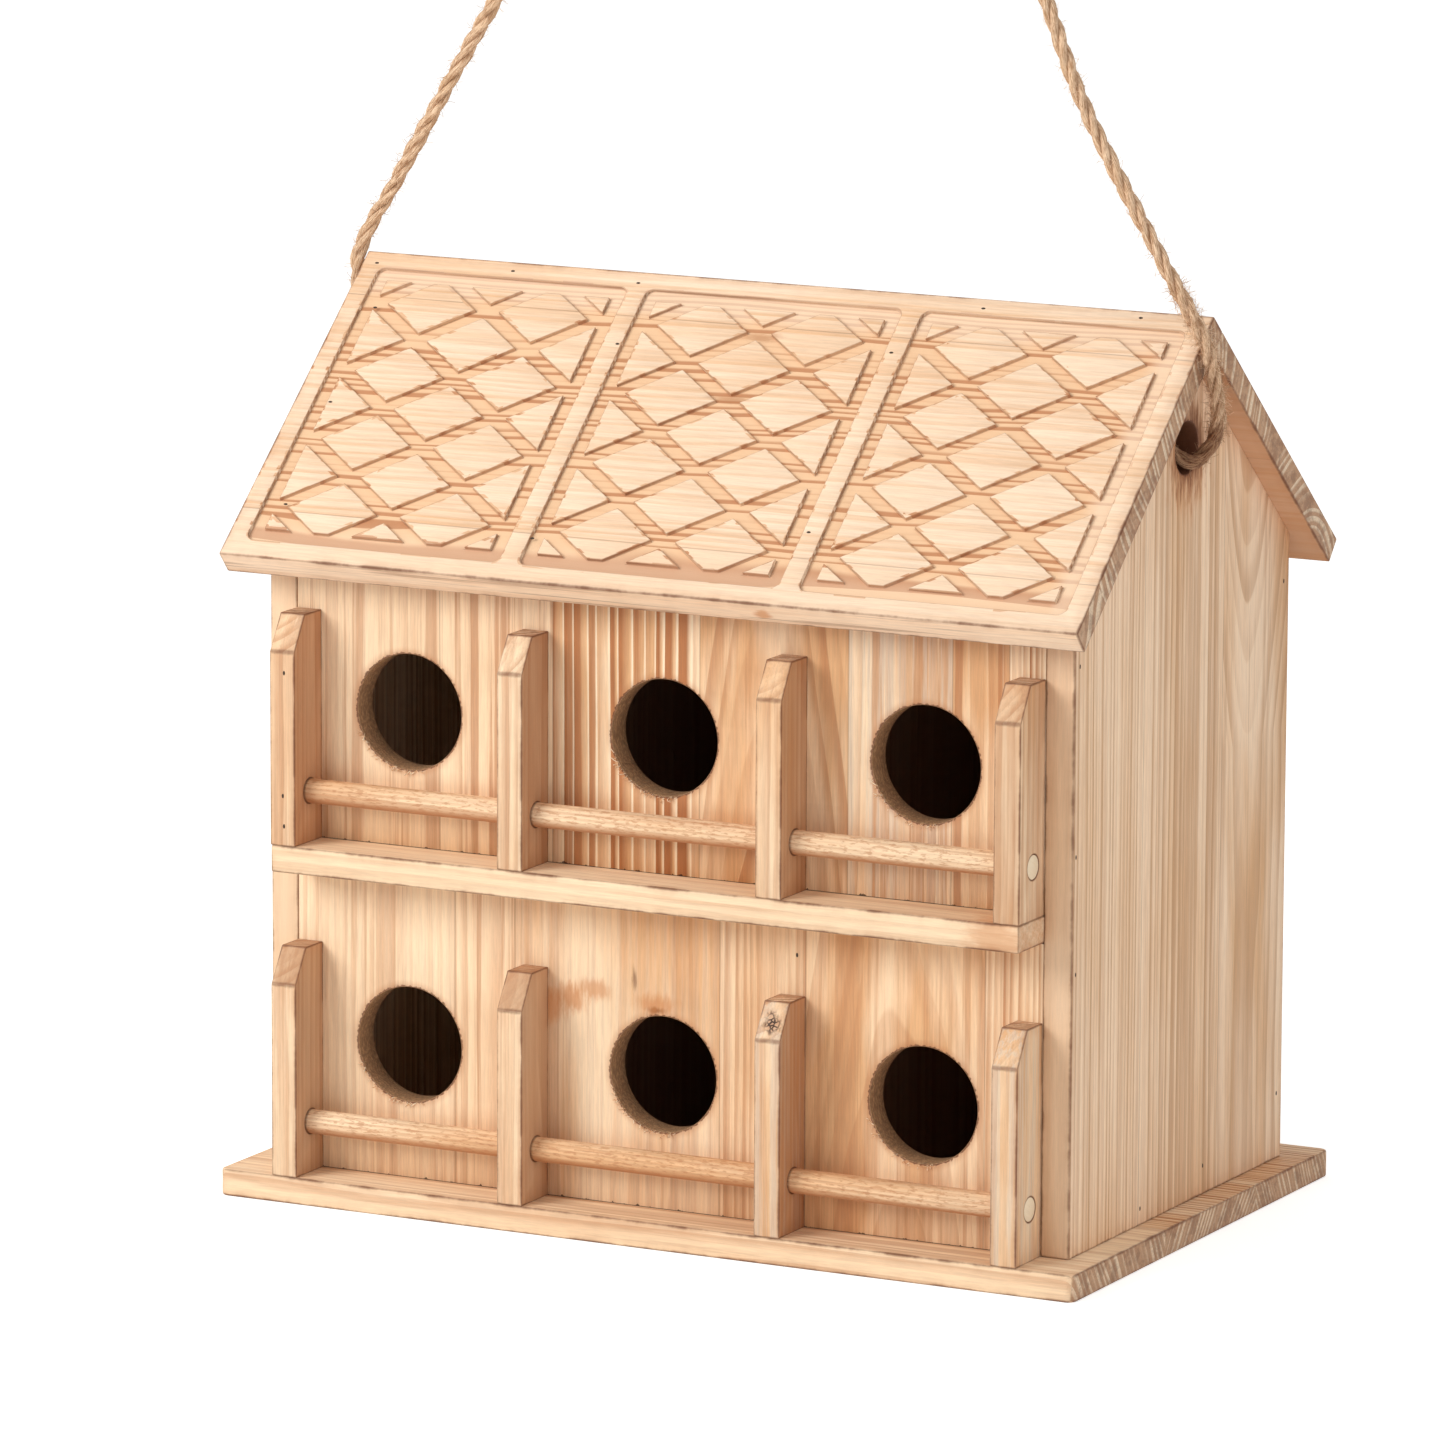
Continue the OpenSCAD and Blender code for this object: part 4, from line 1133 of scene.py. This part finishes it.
def brad_places():
    """Point, outward direction and grain direction of every brad."""
    places = []
    up = Vector((0, -math.sin(ROOF_PITCH), math.cos(ROOF_PITCH)))
    for x, s in ROOF_BRADS:
        point = Vector((x * MM, -s * MM * math.cos(ROOF_PITCH), RIDGE_Z - s * MM * math.sin(ROOF_PITCH)))
        places.append((point, up, Vector((1, 0, 0))))
    for side in (-1, 1):
        for y, z in SIDE_BRADS:
            places.append((Vector((side * SIDE_X, FRONT_Y + y * MM, z * MM)), Vector((side, 0, 0)), Vector((0, 0, 1))))
    for x, z in FRONT_BRADS:
        places.append((Vector((x * MM, FRONT_Y, z * MM)), Vector((0, -1, 0)), Vector((0, 0, 1))))
    for x, z in POST_BRADS:
        low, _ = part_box("upper_post_1")
        places.append((low + Vector((x * MM, 0, z * MM)), Vector((0, -1, 0)), Vector((0, 0, 1))))
    return places


class BIRDHOUSE_OT_brads(bpy.types.Operator):
    """Set the heads of the brads into the roof, walls and posts"""
    bl_idname = "birdhouse.brads"
    bl_label = "Brads"

    def execute(self, context):
        look = settings("brad")
        material, sheet, shader = new_material("Darkened steel")
        place_ = sheet.node("ShaderNodeTexCoord", output=3)
        spots = sheet.noise(place_, 1800.0, 2.0)
        sheet.put(shader.inputs["Base Color"], sheet.mix(spots, linear(look.steel), linear((0.16, 0.11, 0.08))))
        shader.inputs["Metallic"].default_value = 0.6
        sheet.put(shader.inputs["Roughness"], sheet.ramp(spots, 0.2, 0.8, 0.4, 0.7))
        mesh = bpy.data.meshes.new("brads")
        places = brad_places()
        mesh.from_pydata([tuple(point) for point, _, _ in places], [], [])
        directions = mesh.attributes.new("direction", "FLOAT_VECTOR", "POINT")
        grains = mesh.attributes.new("grain", "FLOAT_VECTOR", "POINT")
        for entry, (_, direction, _) in zip(directions.data, places):
            entry.vector = direction
        for entry, (_, _, grain) in zip(grains.data, places):
            entry.vector = grain
        brads = bpy.data.objects.new("brads", mesh)
        context.scene.collection.objects.link(brads)
        modifier = brads.modifiers.new("Brads", "NODES")
        modifier.node_group = brad_tree(material)
        for item in modifier.node_group.interface.items_tree:
            if item.in_out == "INPUT" and item.name == "Head":
                modifier[item.identifier] = look.head
        make_plain(brads)
        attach(brads, BODY)
        return {"FINISHED"}


def brad_tree(material):
    """Geometry Nodes that put a low oval head on each point, facing its own direction."""
    tree = bpy.data.node_groups.new("Brads", "GeometryNodeTree")
    tree.interface.new_socket("Geometry", in_out="INPUT", socket_type="NodeSocketGeometry")
    tree.interface.new_socket("Head", in_out="INPUT", socket_type="NodeSocketFloat").default_value = 0.0015
    tree.interface.new_socket("Geometry", in_out="OUTPUT", socket_type="NodeSocketGeometry")
    sheet = Sheet(tree)
    entry = tree.nodes.new("NodeGroupInput").outputs
    out = tree.nodes.new("NodeGroupOutput")
    direction = sheet.node("GeometryNodeInputNamedAttribute", {"Name": "direction"}, data_type="FLOAT_VECTOR")
    turn = sheet.node("FunctionNodeAlignRotationToVector", {"Vector": direction}, axis="Z")
    grain = sheet.node("GeometryNodeInputNamedAttribute", {"Name": "grain"}, data_type="FLOAT_VECTOR")
    turn = sheet.node("FunctionNodeAlignRotationToVector", {"Rotation": turn, "Vector": grain}, axis="X",
                      pivot_axis="Z")
    head = sheet.node("GeometryNodeMeshUVSphere", {"Segments": 14, "Rings": 8, "Radius": 0.5})
    scale = sheet.vector("MULTIPLY", sheet.join(entry["Head"], entry["Head"], entry["Head"]), (1.0, 0.55, 0.22))
    placed = sheet.node("GeometryNodeInstanceOnPoints", {"Points": entry["Geometry"], "Instance": head,
                                                         "Rotation": turn, "Scale": scale})
    real = sheet.node("GeometryNodeRealizeInstances", {"Geometry": placed})
    smooth = sheet.node("GeometryNodeSetShadeSmooth", {"Geometry": real})
    painted = sheet.node("GeometryNodeSetMaterial", {"Geometry": smooth, "Material": material})
    sheet.put(out.inputs["Geometry"], painted)
    return tree


# Stage

PHOTO_SIDE = 1445
CAMERA_PLACE = (1444.88, -2845.56, 763.18)
CAMERA_AZIMUTH = 27.257
CAMERA_ELEVATION = 10.793
CAMERA_ROLL = 0.239
CAMERA_FOCAL_PIXELS = 9956.3


class BIRDHOUSE_OT_stage(bpy.types.Operator):
    """Set the camera, the lamps, the even light and the pale floor"""
    bl_idname = "birdhouse.stage"
    bl_label = "Stage"

    def execute(self, context):
        look = settings("stage")
        scene = context.scene
        scene.view_settings.view_transform = "Standard"
        data = bpy.data.cameras.new("Camera")
        data.sensor_width = 36.0
        data.lens = CAMERA_FOCAL_PIXELS * data.sensor_width / PHOTO_SIDE
        data.clip_end = 50.0
        camera = bpy.data.objects.new("Camera", data)
        scene.collection.objects.link(camera)
        turn = (Matrix.Rotation(math.radians(CAMERA_AZIMUTH), 3, "Z")
                @ Matrix.Rotation(math.radians(90 - CAMERA_ELEVATION), 3, "X")
                @ Matrix.Rotation(math.radians(CAMERA_ROLL), 3, "Z"))
        camera.matrix_world = Matrix.Translation(Vector(CAMERA_PLACE) * MM) @ turn.to_4x4()
        scene.camera = camera

        middle = Vector((0, 0, 0.17))
        self.lamp(context, "Key", Vector((-1.1, -1.5, 1.15)), middle, 1.0, look.key, (1.0, 0.985, 0.965))
        self.lamp(context, "Fill", Vector((1.7, -0.9, 0.8)), middle, 1.4, look.fill, (0.96, 0.98, 1.0))
        self.sky(scene, look.sky)
        self.floor(context, look.floor)
        return {"FINISHED"}

    def lamp(self, context, name, place_, target, size, power, colour):
        data = bpy.data.lights.new(name, "AREA")
        data.size = size
        data.energy = power
        data.color = colour
        lamp = bpy.data.objects.new(name, data)
        lamp.location = place_
        lamp.rotation_euler = (target - place_).to_track_quat("-Z", "Y").to_euler()
        context.scene.collection.objects.link(lamp)

    def seen(self, sheet):
        """Whether a ray comes from the camera, off a gloss or through glass."""
        camera_ray = sheet.node("ShaderNodeLightPath")
        outputs = sheet.last.outputs
        other = sheet.math("ADD", outputs["Is Glossy Ray"], outputs["Is Transmission Ray"])
        return sheet.math("ADD", camera_ray, other, clamp=True)

    def sky(self, scene, strength):
        """Even light on the object, and plain white where the camera looks past it."""
        world = bpy.data.worlds.new("Studio")
        world.use_nodes = True
        sheet = Sheet(world.node_tree)
        background = world.node_tree.nodes["Background"]
        sheet.put(background.inputs["Color"], (1.0, 1.0, 1.0, 1.0))
        sheet.put(background.inputs["Strength"], sheet.ramp(self.seen(sheet), 0.0, 1.0, strength, 1.0))
        scene.world = world

    def floor(self, context, colour):
        """Pale floor that fades into the white behind it and keeps the object's shadow."""
        material, sheet, shader = new_material("Floor")
        tree = material.node_tree
        shader.inputs["Base Color"].default_value = linear(colour)
        shader.inputs["Roughness"].default_value = 0.9
        shader.inputs["Specular IOR Level"].default_value = 0.1
        shader.inputs["Emission Color"].default_value = (1.0, 1.0, 1.0, 1.0)
        sheet.put(shader.inputs["Emission Strength"], sheet.math("MULTIPLY", self.seen(sheet), 0.55))
        half = 6.0
        mesh = bpy.data.meshes.new("floor")
        corners = [(-half, -half, 0), (half, -half, 0), (half, half, 0), (-half, half, 0)]
        mesh.from_pydata(corners, [], [(0, 1, 2, 3)])
        mesh.materials.append(material)
        floor = bpy.data.objects.new("floor", mesh)
        context.scene.collection.objects.link(floor)


class BIRDHOUSE_PT_panel(bpy.types.Panel):
    """Steps that finish the birdhouse"""
    bl_label = "Birdhouse"
    bl_idname = "BIRDHOUSE_PT_panel"
    bl_space_type = "VIEW_3D"
    bl_region_type = "UI"
    bl_category = "Birdhouse"

    def draw(self, context):
        for operator in OPERATORS:
            self.layout.operator(operator.bl_idname)
        for name in SETTINGS:
            group = settings(name)
            box = self.layout.box()
            for key in group.__annotations__:
                box.prop(group, key)


SETTINGS = {"wood": WoodSettings, "rope": RopeSettings, "brad": BradSettings, "stage": StageSettings}
OPERATORS = (BIRDHOUSE_OT_stage, BIRDHOUSE_OT_rope, BIRDHOUSE_OT_walls, BIRDHOUSE_OT_roof, BIRDHOUSE_OT_porch,
             BIRDHOUSE_OT_brads)
CLASSES = (*SETTINGS.values(), *OPERATORS, BIRDHOUSE_PT_panel)


def register():
    for item in CLASSES:
        bpy.utils.register_class(item)
    for name, kind in SETTINGS.items():
        setattr(bpy.types.Scene, "birdhouse_" + name, PointerProperty(type=kind))


def unregister():
    for name in SETTINGS:
        delattr(bpy.types.Scene, "birdhouse_" + name)
    for item in reversed(CLASSES):
        bpy.utils.unregister_class(item)


def main():
    register()
    bpy.ops.birdhouse.stage()
    bpy.ops.birdhouse.rope()
    bpy.ops.birdhouse.walls()
    bpy.ops.birdhouse.roof()
    bpy.ops.birdhouse.porch()
    bpy.ops.birdhouse.brads()


if __name__ == "__main__":
    main()
